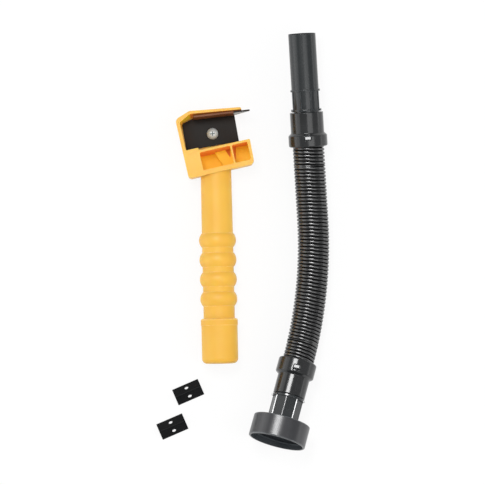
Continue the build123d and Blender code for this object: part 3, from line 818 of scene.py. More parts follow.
@dataclass
class Studio:
    """The white table, its lamps and the camera over it.

    Args:
        aim: the middle of the view, in metres.
        elevation: degrees the camera stands above the table's edge.
        width: metres across the view at the aim.
        lens: focal length, in millimetres.
        sensor: sensor width, in millimetres.
        table_size: metres across the table.
        card: how white the table is.
        card_shine: how much of the table's white doesn't hang on the lamps, where it is seen.
        room: strength of the room's light on the pieces.
        lamps: the lamps.
    """

    aim: Vector = field(default_factory=lambda: Vector((-0.034, 0.1993, -0.018)))
    elevation: float = 88.0
    width: float = 0.485
    lens: float = 600.0
    sensor: float = 36.0
    table_size: float = 14.0
    card: float = 0.92
    card_shine: float = 0.88
    room: float = 0.4
    lamps: Sequence[Lamp] = (
        Lamp("key_light", -8.0, 15.5, 1.6, (0.36, 0.5), 17.2, mirrored=False),
        Lamp("key_strip", -9.0, 19.5, 1.6, (0.66, 0.42), 21.0, lights=False),
        Lamp("soft_box", 22.0, -10.5, 1.8, (1.15, 0.66), 2.3),
        Lamp("left_screen", -84.0, 0.0, 1.5, (0.7, 2.3), 1.6),
        Lamp("left_fade", -60.0, 0.0, 1.5, (0.55, 2.0), 1.1),
        Lamp("right_screen", 87.0, 0.0, 1.6, (0.34, 2.4), 1.2),
        Lamp("right_fill", 58.0, 0.0, 1.6, (0.8, 2.0), 2.0, mirrored=False),
        Lamp("front_fill", 0.0, -62.0, 1.6, (1.6, 0.8), 1.3, mirrored=False),
    )

    def build(self) -> None:
        """Set up the camera, the table, the lamps and the light of the room."""
        self.build_camera()
        self.build_table()
        for lamp in self.lamps:
            lamp.build(self.aim)
        self.build_room()
        bpy.context.scene.view_settings.view_transform = "Standard"

    def build_camera(self) -> None:
        """Stand the camera over the table, level with its long side."""
        lens = bpy.data.cameras.new("overhead_camera")
        lens.lens = self.lens
        lens.sensor_width = self.sensor
        lens.clip_end = 30.0
        camera = bpy.data.objects.new("overhead_camera", lens)
        back = Vector((0.0, -cos(radians(self.elevation)), sin(radians(self.elevation))))
        camera.location = self.aim + back * (self.width * self.lens / self.sensor)
        camera.rotation_euler = (radians(90.0 - self.elevation), 0.0, 0.0)
        bpy.context.scene.collection.objects.link(camera)
        bpy.context.scene.camera = camera

    def build_table(self) -> None:
        """Lay the white table under the pieces."""
        shape = Shape()
        bmesh.ops.create_grid(shape.bm, x_segments=1, y_segments=1, size=self.table_size / 2)
        bmesh.ops.translate(shape.bm, verts=shape.bm.verts, vec=(0, 0, cad_box[0].z))
        table = bpy.data.objects.new("table", shape.to_mesh("table"))
        table.data.materials.append(self.white_table())
        bpy.context.scene.collection.objects.link(table)

    def white_table(self) -> bpy.types.Material:
        """Return white card that keeps a soft shadow."""
        material = bpy.data.materials.new("white_card")
        material.use_nodes = True
        wiring = Wiring(material.node_tree)
        card = material.node_tree.nodes["Principled BSDF"]
        card.inputs["Base Color"].default_value = (self.card, self.card, self.card, 1.0)
        card.inputs["Roughness"].default_value = 0.9
        card.inputs["Specular IOR Level"].default_value = 0.1
        bright = wiring.add("Emission", {"Color": (1.0, 1.0, 1.0, 1.0), "Strength": 1.0})
        path = wiring.add("LightPath").outputs
        seen = wiring.sum("MAXIMUM", path["Is Camera Ray"], path["Is Glossy Ray"])
        seen = wiring.sum("MAXIMUM", seen, path["Is Transmission Ray"])
        share = wiring.sum("MULTIPLY", seen, self.card_shine)
        mixed = wiring.add("MixShader", {"Fac": share})
        wiring.feed(mixed.inputs[1], card.outputs[0])
        wiring.feed(mixed.inputs[2], bright.outputs[0])
        end = material.node_tree.nodes["Material Output"]
        wiring.feed(end.inputs["Surface"], mixed.outputs[0])
        return material

    def build_room(self) -> None:
        """Fill the room with even light, white where the camera sees it."""
        world = bpy.data.worlds.new("white_room")
        bpy.context.scene.world = world
        world.use_nodes = True
        wiring = Wiring(world.node_tree)
        path = wiring.add("LightPath").outputs
        seen = wiring.sum("MAXIMUM", path["Is Camera Ray"], path["Is Transmission Ray"])
        strength = wiring.spread(seen, 0.0, 1.0, self.room, 1.0)
        room = world.node_tree.nodes["Background"]
        room.inputs["Color"].default_value = (1.0, 1.0, 1.0, 1.0)
        wiring.feed(room.inputs["Strength"], strength)


# ---- Hose ------------------------------------------------------------------------------
@dataclass
class Hose:
    """The flexible hose: a tube with a double spiral rib, in spans that bend at the joints.

    Args:
        pitch: distance between neighbouring ribs.
        crest: radius of the ribs.
        valley: radius between them.
        bore: radius of the inside.
        ribs_in_bell: ribs hidden in each cuff.
        ribs_at_end: ribs between a cuff and the first joint.
        ribs_in_link: ribs between two joints.
        steps: sections round the hose.
        joint_count: number of joints.
        groove: share of a rib's height below which its flanks lie in the groove's shade.
    """

    pitch: float = 3.56
    crest: float = 15.8
    valley: float = 13.95
    bore: float = 12.7
    ribs_in_bell: float = 2.0
    ribs_at_end: float = 3.0
    ribs_in_link: float = 5.0
    steps: int = 72
    joint_count: int = 12
    groove: float = 0.6

    @property
    def joints(self) -> list[Vector]:
        """The joints' places, in metres, from the cap's end on."""
        return [joint(f"hose_bend_{number:02d}")[0] for number in range(1, self.joint_count + 1)]

    @property
    def bodies(self) -> list[str]:
        """The bodies along the hose."""
        links = [f"link_{number:02d}" for number in range(1, self.joint_count)]
        return ["base", *links, "spout_holder"]

    def lower_bell(self) -> Station:
        """Return the mouth of the lower cuff's bell, looking away from the hose."""
        along = joint("cap_spin")[1]
        place = self.joints[0] - along * (self.ribs_at_end * self.pitch * MM)
        return Station.on_axis(place, -along)

    def upper_bell(self) -> Station:
        """Return the mouth of the upper cuff's bell, looking away from the hose."""
        along = joint("spout_turn")[1]
        place = self.joints[-1] + along * (self.ribs_at_end * self.pitch * MM)
        return Station.on_axis(place, along)

    def rib_line(self) -> list[Point]:
        """Return the line of two ribs, from valley to valley, as (radius, length)."""
        rise = self.crest - self.valley
        rib = [(0.0, 0.0), (0.04, 0.02), (0.09, 0.32), (0.14, 0.68), (0.2, 0.88), (0.3, 0.97),
               (0.5, 1.0)]
        rib += [(1.0 - share, height) for share, height in rib[-2::-1]]
        line = [(self.valley + rise * height, self.pitch * share) for share, height in rib]
        return line + [(radius, length + self.pitch) for radius, length in line[1:]]

    def straight(self, length: float, begun: float) -> Shape:
        """Make a straight length of hose with a plain bore, cut square at both ends.

        Args:
            length: how long it is.
            begun: length of the hose before it, which sets where the ribs are.

        Returns:
            The shape, from z 0 to length.
        """
        shape = Shape()
        lead = 2 * self.pitch
        turns = int(length / lead) + 3
        top = length + lead - begun % self.pitch
        ribs = shape.draw([(radius, height + top) for radius, height in self.rib_line()],
                          closed=False)
        shape.wind(ribs, -lead, turns, self.steps)
        bmesh.ops.remove_doubles(shape.bm, verts=shape.bm.verts, dist=10 * MERGED)
        for height, side in ((0.0, -1.0), (length, 1.0)):
            bmesh.ops.bisect_plane(shape.bm, geom=shape.parts, dist=10 * ON_CUT,
                                   plane_co=(0, 0, height), plane_no=(0, 0, side),
                                   clear_outer=True)
        bmesh.ops.create_cone(shape.bm, cap_ends=False, segments=self.steps, radius1=self.bore,
                              radius2=self.bore, depth=length,
                              matrix=Matrix.Translation((0, 0, length / 2)))
        for height in (0.0, length):
            rim = [edge for edge in shape.bm.edges if edge.is_boundary
                   and all(abs(vert.co.z - height) < 10 * MERGED for vert in edge.verts)]
            bmesh.ops.bridge_loops(shape.bm, edges=rim)
        bmesh.ops.recalc_face_normals(shape.bm, faces=shape.bm.faces)
        shade = self.valley + self.groove * (self.crest - self.valley)
        # Painted shade: rib flanks low in the grooves take the near-black second finish.
        return shape.mark(1, lambda face: self.bore + 0.2 < spread_of(face) < shade)

    @staticmethod
    def bend(shape: Shape, length: float, corners: tuple[Vector, Vector, Vector], before: float,
             after: float) -> None:
        """Lay a straight length along a smooth curve between two straight ends.

        Args:
            shape: the hose, in millimetres; it ends up in metres in the frame.
            length: its whole length.
            corners: start, middle and end of the curve, in metres.
            before: straight length before the curve.
            after: straight length after it.
        """
        first, middle, last = corners
        bowed = length - before - after
        for vert in shape.bm.verts:
            share = (vert.co.z - before) / bowed
            held = min(max(share, 0.0), 1.0)
            centre = first * (1 - held) ** 2 + middle * (2 * held * (1 - held)) + last * held ** 2
            along = ((middle - first) * (1 - held) + (last - middle) * held).normalized()
            centre = centre + along * ((share - held) * bowed * MM)
            section = Station.on_axis(centre, along)
            vert.co = section.matrix @ Vector((vert.co.x, vert.co.y, 0.0))

    def build(self) -> None:
        """Make the spans, each reaching from the middle of one link to the middle of the next."""
        half = self.ribs_in_link / 2 * self.pitch
        hidden = (self.ribs_at_end + self.ribs_in_bell) * self.pitch - half
        joints = self.joints
        starts = [joints[0] + self.lower_bell().along * (half * MM)]
        starts += [(a + b) / 2 for a, b in zip(joints, joints[1:])]
        starts += [joints[-1] + self.upper_bell().along * (half * MM)]
        begun = 0.0
        for number, (body, following) in enumerate(zip(self.bodies, self.bodies[1:])):
            before = hidden if number == 0 else 0.0
            after = hidden if number == self.joint_count - 1 else 0.0
            length = before + 2 * half + after
            shape = self.straight(length, begun)
            begun += length
            corners = (starts[number], joints[number], starts[number + 1])
            self.bend(shape, length, corners, before, after)
            piece = loose_piece(f"hose_span_{number + 1:02d}", shape, [HOSE_BLACK, HOSE_GROOVE_SHADE])
            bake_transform(piece)
            stands_for = ["hose_end_lower" if number == 0 else f"hose_link_{number:02d}"]
            if number == self.joint_count - 1:
                stands_for.append("hose_end_upper")
            declare(piece, stands_for)


# ---- Cuffs and their snap collars --------------------------------------------------------
class End(Enum):
    """The two ends of the hose."""

    LOWER = "lower"
    UPPER = "upper"


@dataclass
class Cuff:
    """A glossy cuff: a bell over the hose's end and a narrow sleeve over the neck.

    Args:
        end: which end of the hose it closes.
        station: its bell's mouth, looking away from the hose.
        body: the body it rides on.
        bell_radius: outside of the bell.
        bell_length: from the mouth to the middle of the shoulder.
        narrow_radius: outside of the sleeve.
        length: of the whole cuff.
        wall: of the sleeve.
        bell_wall: of the bell.
        mouth_round: rounding of the bell's mouth.
        shoulder: length of the slope between bell and sleeve.
        socket_depth: of the bell's inside.
        window: width and length of the window for the tab.
        window_start: where the window starts.
        tab: width and length of the snap tab.
        tab_stand: how far it stands out of the collar.
        tab_lean: degrees its face falls towards the sleeve.
        tab_roll: degrees its face falls to the left.
        fit: play between the collar and the bell.
        collar_inset: from the mouth to the collar.
        collar_bore: inner radius of the collar.
        edge: rounding of the cuff's edges.
        window_round: rounding of the window's corners.
        tab_round: rounding of the tab.
        tab_play: how far the tab stays off the collar's bore.
    """

    end: End
    station: Station
    body: str
    bell_radius: float
    bell_length: float
    narrow_radius: float
    length: float
    wall: float = 1.7
    bell_wall: float = 1.8
    mouth_round: float = 1.6
    shoulder: float = 3.4
    socket_depth: float = 10.8
    window: tuple[float, float] = (7.0, 6.5)
    window_start: float = 7.0
    tab: tuple[float, float] = (6.0, 3.4)
    tab_stand: float = 1.3
    tab_lean: float = 1.2
    tab_roll: float = 7.9
    fit: float = 0.1
    collar_inset: float = 0.8
    collar_bore: float = 16.0
    edge: float = 0.3
    window_round: float = 0.5
    tab_round: float = 0.4
    tab_play: float = 0.4

    def outline(self) -> list[Point]:
        """Return the closed outline of the cuff as (radius, length) points."""
        bell, narrow, mouth_round = self.bell_radius, self.narrow_radius, self.mouth_round
        inside, sleeve = bell - self.bell_wall, narrow - self.wall
        mouth = arc((bell - mouth_round, mouth_round), mouth_round, 0, -90, 6)
        shoulder = eased((bell, self.bell_length - self.shoulder / 2),
                         (narrow, self.bell_length + self.shoulder / 2), 7)
        return [(inside, 0.0), (inside, self.socket_depth), (sleeve, self.socket_depth),
                (sleeve, self.length), (narrow, self.length), *shoulder[::-1], *mouth]

    def build(self) -> None:
        """Make the cuff with its window, and the collar whose tab snaps into it."""
        middle = self.window_start + self.window[1] / 2
        cutter = Shape().block((self.window[0], 2 * self.bell_radius, self.window[1]),
                               (0, self.bell_radius, middle))
        cutter.soften(self.window_round, segments=3, where=self.runs_outward)
        cuff = Shape().turn(self.outline(), steps=112).combine([cutter])
        cuff.soften(self.edge)
        name = self.end.value
        finished(f"{name}_cuff_shell", cuff, self.station, [GLOSS_BLACK], self.body,
                 [f"{name}_cuff"])
        self.build_collar()

    def runs_outward(self, edge: bmesh.types.BMEdge) -> bool:
        """Tell whether an edge of the window's cutter runs away from the axis."""
        first, second = (vert.co for vert in edge.verts)
        return abs(first.y - second.y) > self.bell_radius

    def build_collar(self) -> None:
        """Make the collar on the hose's end, with its snap tab."""
        outside = self.bell_radius - self.bell_wall - self.fit
        end = self.socket_depth - self.fit
        collar = Shape().turn([(self.collar_bore, self.collar_inset), (self.collar_bore, end),
                               (outside, end), (outside, self.collar_inset)])
        collar.soften(0.25)
        height = outside - self.collar_bore + self.tab_stand - self.tab_play
        tab = Shape().block((self.tab[0], height, self.tab[1]), (0, 0, 0))
        tab.soften(self.tab_round, segments=3)
        tilt = (Matrix.Rotation(radians(self.tab_lean), 4, "X")
                @ Matrix.Rotation(radians(self.tab_roll), 4, "Z"))
        middle = (0, outside + self.tab_stand - height / 2, end - self.tab[1] / 2)
        tab.place(Matrix.Translation(middle) @ tilt)
        name = self.end.value
        finished(f"{name}_collar_ring", collar.join(tab), self.station, [GLOSS_BLACK], self.body,
                 [f"{name}_hose_collar"])


# ---- Necks ------------------------------------------------------------------------------
@dataclass
class Neck:
    """A neck with flat sides between its ribs, a ring beside the cuff and short lugs on it.

    Args:
        start: where it starts, from the cuff's bell mouth.
        length: how long it is.
        radius: over the ribs.
        flat: from the axis to the flat sides.
        rib_width: of each rib.
        ring_radius: over the ring.
        ring_length: of the ring.
        bore: radius of the hollow behind the flat sides.
        rib_flank: bevel at both sides of a rib.
        turn: degrees the ribs are turned about the axis.
        count: number of ribs.
        sides: number of flat sides between them.
        lug_width: of each lug.
        lug_stand: how far a lug stands out of the ring.
        lug_count: number of lugs.
        lug_depth: of each lug, the part in the ring with it.
        rib_root: how far a rib reaches under the flat sides.
        edge: rounding of the ring and of the corners between the flat sides.
    """

    start: float
    length: float
    radius: float
    flat: float
    rib_width: float
    ring_radius: float
    ring_length: float
    bore: float
    rib_flank: float = 0.85
    turn: float = 0.0
    count: int = 8
    sides: int = 8
    lug_width: float = 3.6
    lug_stand: float = 0.9
    lug_count: int = 8
    lug_depth: float = 2.4
    rib_root: float = 1.2
    edge: float = 0.35

    def build(self) -> Shape:
        """Return the neck's outside as closed shells."""
        shape = Shape()
        corner = self.flat / cos(pi / self.sides)
        angles = [2 * pi * number / self.sides + radians(self.turn)
                  for number in range(self.sides)]
        corners = [(corner * cos(angle), corner * sin(angle)) for angle in angles]
        core = Shape().prism(corners, self.length, self.start)
        if self.sides == self.count:
            core.soften(self.edge)
        core.combine([Shape().peg(self.bore, self.start - 1.0, self.start + self.length + 1.0)])
        shape.join(core)
        depth = self.radius - self.flat + self.rib_root
        for number in range(self.count):
            angle = self.turn + 360.0 / self.count * number
            rib = Shape().block((depth, self.rib_width, self.length),
                                (self.radius - depth / 2, 0, self.start + self.length / 2),
                                turn=angle)
            rib.soften(self.rib_flank, segments=1, where=self.is_long_outer_edge)
            outward = heading(angle)
            rib.bm.normal_update()
            rib.mark(2, lambda face: face.normal.dot(outward) > 0.5)
            # Painted shade: the rib's side walls take the near-black second finish as shadow lines beside the rib.
            rib.mark(1, lambda face: abs(face.normal.dot(outward)) < 0.1)
            shape.join(rib)
        return shape

    def is_long_outer_edge(self, edge: bmesh.types.BMEdge) -> bool:
        """Tell whether an edge of a rib runs along it at its outside."""
        first, second = (vert.co for vert in edge.verts)
        outer = min(hypot(*first.xy), hypot(*second.xy)) > self.radius - 0.1
        return outer and abs(first.z - second.z) > self.length / 2

    def ring(self) -> Shape:
        """Return the ring beside the cuff with its lugs."""
        inner = self.bore + 0.2
        end = self.start + self.ring_length
        shape = Shape().turn([(inner, self.start), (self.ring_radius, self.start),
                              (self.ring_radius, end), (inner, end)])
        shape.soften(self.edge)
        out = self.ring_radius + self.lug_stand - self.lug_depth / 2
        for number in range(self.lug_count):
            lug = Shape().block((self.lug_depth, self.lug_width, self.ring_length),
                                (out, 0, self.start + self.ring_length / 2),
                                turn=self.turn + 360.0 / self.lug_count * number)
            shape.join(lug.soften(0.3).mark(2, lambda face: True))
        return shape


# ---- Spigots, adapter and cap -------------------------------------------------------------
@dataclass
class Spigot:
    """The part of a neck inside a cuff, with grooves for its snap ring and its seal.

    Args:
        radius: outside.
        bore: radius of the way through.
        start: its free end, from the cuff's bell mouth.
        snap_groove: start and end of the snap ring's groove.
        snap_depth: depth of that groove.
        seal_groove: start and end of the seal's groove.
        seal_depth: depth of that groove.
    """

    radius: float
    bore: float = 10.0
    start: float = 8.05
    snap_groove: Point = (9.4, 10.7)
    snap_depth: float = 1.1
    seal_groove: Point = (17.7, 19.9)
    seal_depth: float = 1.85

    def outline(self, end: float) -> list[Point]:
        """Return the outer outline from the free end to a length, bore first."""
        points = [(self.bore, self.start), (self.radius, self.start)]
        for (low, high), depth in ((self.snap_groove, self.snap_depth),
                                   (self.seal_groove, self.seal_depth)):
            floor = self.radius - depth
            points += [(self.radius, low), (floor, low), (floor, high), (self.radius, high)]
        return points + [(self.radius, end)]


@dataclass
class AdapterNeck:
    """The neck between the lower cuff and the cap, with a socket for the cap's insert.

    Args:
        station: the lower bell's mouth, looking away from the hose.
        spigot: its part inside the cuff.
        neck: its flat-sided part.
        spigot_end: where the spigot ends, just inside the cuff.
        inner_radius: outside of the round tube under the flat sides.
        socket_radius: of the socket.
        socket_bottom: where the socket ends, from the bell's mouth.
    """

    station: Station
    spigot: Spigot = field(default_factory=lambda: Spigot(radius=14.25))
    neck: Neck = field(default_factory=lambda: Neck(
        start=37.7, length=24.65, radius=15.4, flat=13.95, rib_width=2.0, ring_radius=15.9,
        ring_length=2.0, bore=12.7, turn=7.8))
    spigot_end: float = 36.3
    inner_radius: float = 13.2
    socket_radius: float = 12.3
    socket_bottom: float = 46.25

    def build(self) -> None:
        """Make the neck."""
        end = self.neck.start + self.neck.length
        tube = Shape().turn([*self.spigot.outline(self.spigot_end),
                             (self.inner_radius, self.spigot_end), (self.inner_radius, end),
                             (self.socket_radius, end), (self.socket_radius, self.socket_bottom),
                             (self.spigot.bore, self.socket_bottom)])
        tube.soften(0.2)
        tube.join(self.neck.build()).join(self.neck.ring())
        finished("adapter_body", tube, self.station, [SATIN_BLACK, BORE_AND_RIB_SIDE_SHADE, RIB_BLACK], "base",
                 ["adapter_neck"])


@dataclass
class ScrewCap:
    """The cap that screws on a can's neck and turns about the flanged insert.

    Args:
        station: the middle of its mouth, looking to the hose.
        mouth_radius: outside at the mouth.
        base_radius: outside at the roof.
        inside_radius: of the threaded part.
        chamber_radius: above the thread.
        hole_radius: round the insert.
        height: of the cap.
        ceiling: from the mouth to the roof's underside.
        thread_end: where the threaded part ends.
        edge: rounding of the outer edges.
        pitch: of the thread.
        thread_height: how far the thread stands in.
        thread_from: first turn's place from the mouth.
        turns: of the thread.
        thread_root: how far the thread reaches into the wall.
        thread_steps: sections in one turn of the thread.
        run_out: degrees over which the thread sinks into the wall at its ends.
        sunk: share of its height that is left at the very end.
    """

    station: Station
    mouth_radius: float = 28.82
    base_radius: float = 28.65
    inside_radius: float = 26.65
    chamber_radius: float = 25.9
    hole_radius: float = 12.26
    height: float = 22.0
    ceiling: float = 19.4
    thread_end: float = 14.0
    edge: float = 0.95
    pitch: float = 4.0
    thread_height: float = 1.15
    thread_from: float = 2.2
    turns: float = 2.25
    thread_root: float = 0.3
    thread_steps: int = 72
    run_out: float = 40.0
    sunk: float = 0.15

    def build(self) -> None:
        """Make the cap with its thread."""
        cup = Shape().turn([
            (self.inside_radius, 0.0), (self.inside_radius, self.thread_end),
            (self.chamber_radius, self.thread_end), (self.chamber_radius, self.ceiling),
            (self.hole_radius, self.ceiling), (self.hole_radius, self.height),
            (self.base_radius, self.height), (self.mouth_radius, 0.0)], steps=144)
        cup.soften(self.edge, segments=4,
                   where=lambda edge: hypot(*edge.verts[0].co.xy) > self.inside_radius + 1.0)
        cup.soften(0.25, angle=50.0)
        # Painted light: the inside and the thread take the lighter second finish.
        cup.join(self.thread()).mark(1, self.is_inside)
        finished("cap_shell", cup, self.station, [CAP_BLACK, CAP_INSIDE_PAINTED_LIGHT], "cap",
                 ["screw_cap"])

    def is_inside(self, face: bmesh.types.BMFace) -> bool:
        """Tell whether a face lies inside the cap, the thread included."""
        height = face.calc_center_median().z
        return (spread_of(face) < self.inside_radius + self.thread_root + 0.1
                and 0.3 < height < self.ceiling + 0.1)

    def thread(self) -> Shape:
        """Return the ridge of the thread, which runs out at both ends."""
        shape = Shape()
        wall = self.inside_radius + self.thread_root
        crest = self.inside_radius - self.thread_height
        profile = [(wall, 0.0), (self.inside_radius, 0.1), (crest, 0.85), (crest, 1.35),
                   (self.inside_radius, 2.1), (wall, 2.2)]
        line = shape.draw([(radius, self.thread_from + rise) for radius, rise in profile])
        shape.bm.faces.new(line[0])
        last = shape.wind(line, self.pitch, self.turns, self.thread_steps)
        shape.bm.faces.new(self.in_ring_order(last, profile))
        run_out, whole = radians(self.run_out), 2 * pi * self.turns
        for vert in shape.bm.verts:
            turned = (vert.co.z - self.thread_from) / self.pitch * 2 * pi
            share = min(1.0, max(0.0, turned / run_out), max(0.0, (whole - turned) / run_out))
            radius = hypot(*vert.co.xy)
            sunk = wall - (wall - radius) * (self.sunk + (1.0 - self.sunk) * share)
            vert.co.xy = vert.co.xy * (sunk / radius)
        return shape.close()

    @staticmethod
    def in_ring_order(verts: Sequence[bmesh.types.BMVert], profile: Sequence[Point],
                      ) -> list[bmesh.types.BMVert]:
        """Sort the end section's points so that they follow the profile."""
        lowest = min(vert.co.z for vert in verts)
        order = {round(rise, 2): number for number, (_, rise) in enumerate(profile)}
        return sorted(verts, key=lambda vert: order[round(vert.co.z - lowest, 2)])


@dataclass
class FlangedInsert:
    """The tube that holds the cap to the adapter, and the gasket under its flange.

    Args:
        station: the middle of the cap's mouth, looking to the hose.
        bore: radius of the way through.
        radius: outside of the tube.
        flange_radius: outside of the flange.
        flange: start and end of the flange.
        end: where the tube ends.
        gasket_inside: inner radius of the gasket.
        gasket_start: the gasket's lower face.
    """

    station: Station
    bore: float = 10.0
    radius: float = 12.2
    flange_radius: float = 25.6
    flange: Point = (16.25, 19.25)
    end: float = 38.15
    gasket_inside: float = 18.1
    gasket_start: float = 14.25

    def build(self) -> None:
        """Make the insert and its gasket."""
        low, high = self.flange
        tube = Shape().turn([(self.bore, low), (self.flange_radius, low),
                             (self.flange_radius, high), (self.radius, high),
                             (self.radius, self.end), (self.bore, self.end)])
        finished("insert_body", tube.soften(0.4, segments=3), self.station, [INSERT_BLACK], "base",
                 ["flanged_insert"])
        gasket = Shape().turn([(self.gasket_inside, self.gasket_start),
                               (self.flange_radius, self.gasket_start),
                               (self.flange_radius, low), (self.gasket_inside, low)])
        finished("gasket_ring", gasket.soften(0.5, segments=4), self.station, [SEAL_BLACK], "base",
                 ["cap_gasket"])


@dataclass
class Spout:
    """The spout: spigot, flat-sided neck, end ring and plain tube in one moulding.

    Args:
        station: the upper bell's mouth, looking away from the hose.
        spigot: its part inside the cuff.
        neck: its flat-sided part.
        spigot_end: where the spigot ends, just inside the cuff.
        inner_radius: outside of the round tube under the flat sides.
        end_ring: start, end and radius of the ring at the end of the neck.
        radius: of the tube.
        bore: inner radius of the tube.
        end: the tube's free end, from the bell's mouth.
        lip: thickness of the wall at the free end.
        lead_in: length over which it thickens to the full wall.
    """

    station: Station
    spigot: Spigot = field(default_factory=lambda: Spigot(radius=14.89))
    neck: Neck = field(default_factory=lambda: Neck(
        start=35.5, length=21.6, radius=14.2, flat=13.45, rib_width=1.6, ring_radius=14.85,
        ring_length=2.0, bore=12.2, rib_flank=0.5, turn=22.5, sides=48))
    spigot_end: float = 34.1
    inner_radius: float = 12.6
    end_ring: tuple[float, float, float] = (55.3, 57.1, 14.85)
    radius: float = 13.65
    bore: float = 11.85
    end: float = 113.1
    lip: float = 0.7
    lead_in: float = 2.0

    def build(self) -> None:
        """Make the spout."""
        start = self.spigot_end
        low, high, over = self.end_ring
        tube = Shape().turn([*self.spigot.outline(start), (self.inner_radius, start),
                             (self.inner_radius, low), (over, low), (over, high),
                             (self.radius, high), (self.radius, self.end),
                             (self.radius - self.lip, self.end),
                             (self.bore, self.end - self.lead_in),
                             (self.bore, high), (self.spigot.bore, start)], steps=120)
        tube.soften(0.2, segments=3)
        # Painted shade: the bore inside the tube takes the near-black second finish.
        tube.mark(1, lambda face: spread_of(face) < self.radius - self.lip
                  and face.calc_center_median().z > high)
        tube.join(self.neck.build()).join(self.neck.ring())
        finished("spout_body", tube, self.station, [SATIN_BLACK, BORE_AND_RIB_SIDE_SHADE, RIB_BLACK], "spout",
                 ["spout_tube"])


# ---- Can tool ---------------------------------------------------------------------------
@dataclass
class Grip:
    """The tool's round handle with its sleeve, band and grip rings.

    Args:
        radius: between the rings.
        top_radius: where it meets the head.
        bore: radius of the hollow.
        bore_depth: how far the hollow reaches.
        length: to the head's plane and past it.
        sleeve: radius, length and rounding of the sleeve at the free end.
        band: radius, length and bevel of the band beside it.
        ring_radius: over the grip rings.
        first_ring: middle of the first ring.
        ring_pitch: from ring to ring.
        ring_half: half the length of a ring.
        ring_count: number of rings.
        ring_fullness: how full a ring is; 1 is a parabola and less is fuller.
        ring_steps: parts of a ring's outline.
        bevel_break: share of the band's bevel at which it breaks in two.
    """

    radius: float = 15.6
    top_radius: float = 15.2
    bore: float = 12.0
    bore_depth: float = 150.0
    length: float = 212.0
    sleeve: tuple[float, float, float] = (18.1, 38.0, 5.0)
    band: tuple[float, float, float] = (18.5, 7.0, 1.6)
    ring_radius: float = 18.5
    first_ring: float = 64.4
    ring_pitch: float = 19.6
    ring_half: float = 7.2
    ring_count: int = 4
    ring_fullness: float = 0.85
    ring_steps: int = 14
    bevel_break: float = 0.35

    def ring(self, middle: float) -> list[Point]:
        """Return the bulge of a grip ring."""
        stand = self.ring_radius - self.radius
        shares = [step / self.ring_steps * 2 - 1 for step in range(self.ring_steps + 1)]
        return [(self.radius + stand * (1 - share * share) ** self.ring_fullness,
                 middle + self.ring_half * share) for share in shares]

    def outline(self) -> list[Point]:
        """Return the closed outline of the handle as (radius, length) points."""
        sleeve, sleeve_length, rounding = self.sleeve
        band, band_length, bevel = self.band
        end = sleeve_length + band_length
        points = [(0.0, self.length), (0.0, self.bore_depth), (self.bore, self.bore_depth),
                  (self.bore, 0.0)]
        points += arc((sleeve - rounding, rounding), rounding, -90, 0, 8)
        broken = bevel * self.bevel_break
        points += [(sleeve, sleeve_length), (band, sleeve_length), (band, end - bevel),
                   (band - broken, end - broken), (band - bevel, end), (self.radius, end)]
        for number in range(self.ring_count):
            points += self.ring(self.first_ring + number * self.ring_pitch)
        return points + [(self.top_radius, self.length)]

    def build(self) -> Shape:
        """Return the handle, longer than it needs to be."""
        shape = Shape().turn(self.outline(), steps=96)
        return shape.soften(0.35, angle=28.0)


@dataclass(frozen=True)
class Pocket:
    """A pocket in the jaw, or a slot beside the rib between two of them.

    Args:
        bottom: height of its bottom above the head's back.
        slope: how far its far wall leans in on the way to the bottom.
        corners: at the front, anticlockwise from the near left.
    """

    bottom: float
    slope: float
    corners: Sequence[Corner]

    def bottom_corners(self) -> list[Corner]:
        """Return the corners at the bottom, where the far wall has leant in."""
        far = max(y for _, y, _ in self.corners)
        bottom = []
        for number, (x, y, radius) in enumerate(self.corners):
            near = self.corners[3 - number]
            share = self.slope / (far - near[1]) if y == far else 0.0
            bottom.append((x + (near[0] - x) * share, y + (near[1] - y) * share, radius))
        return bottom


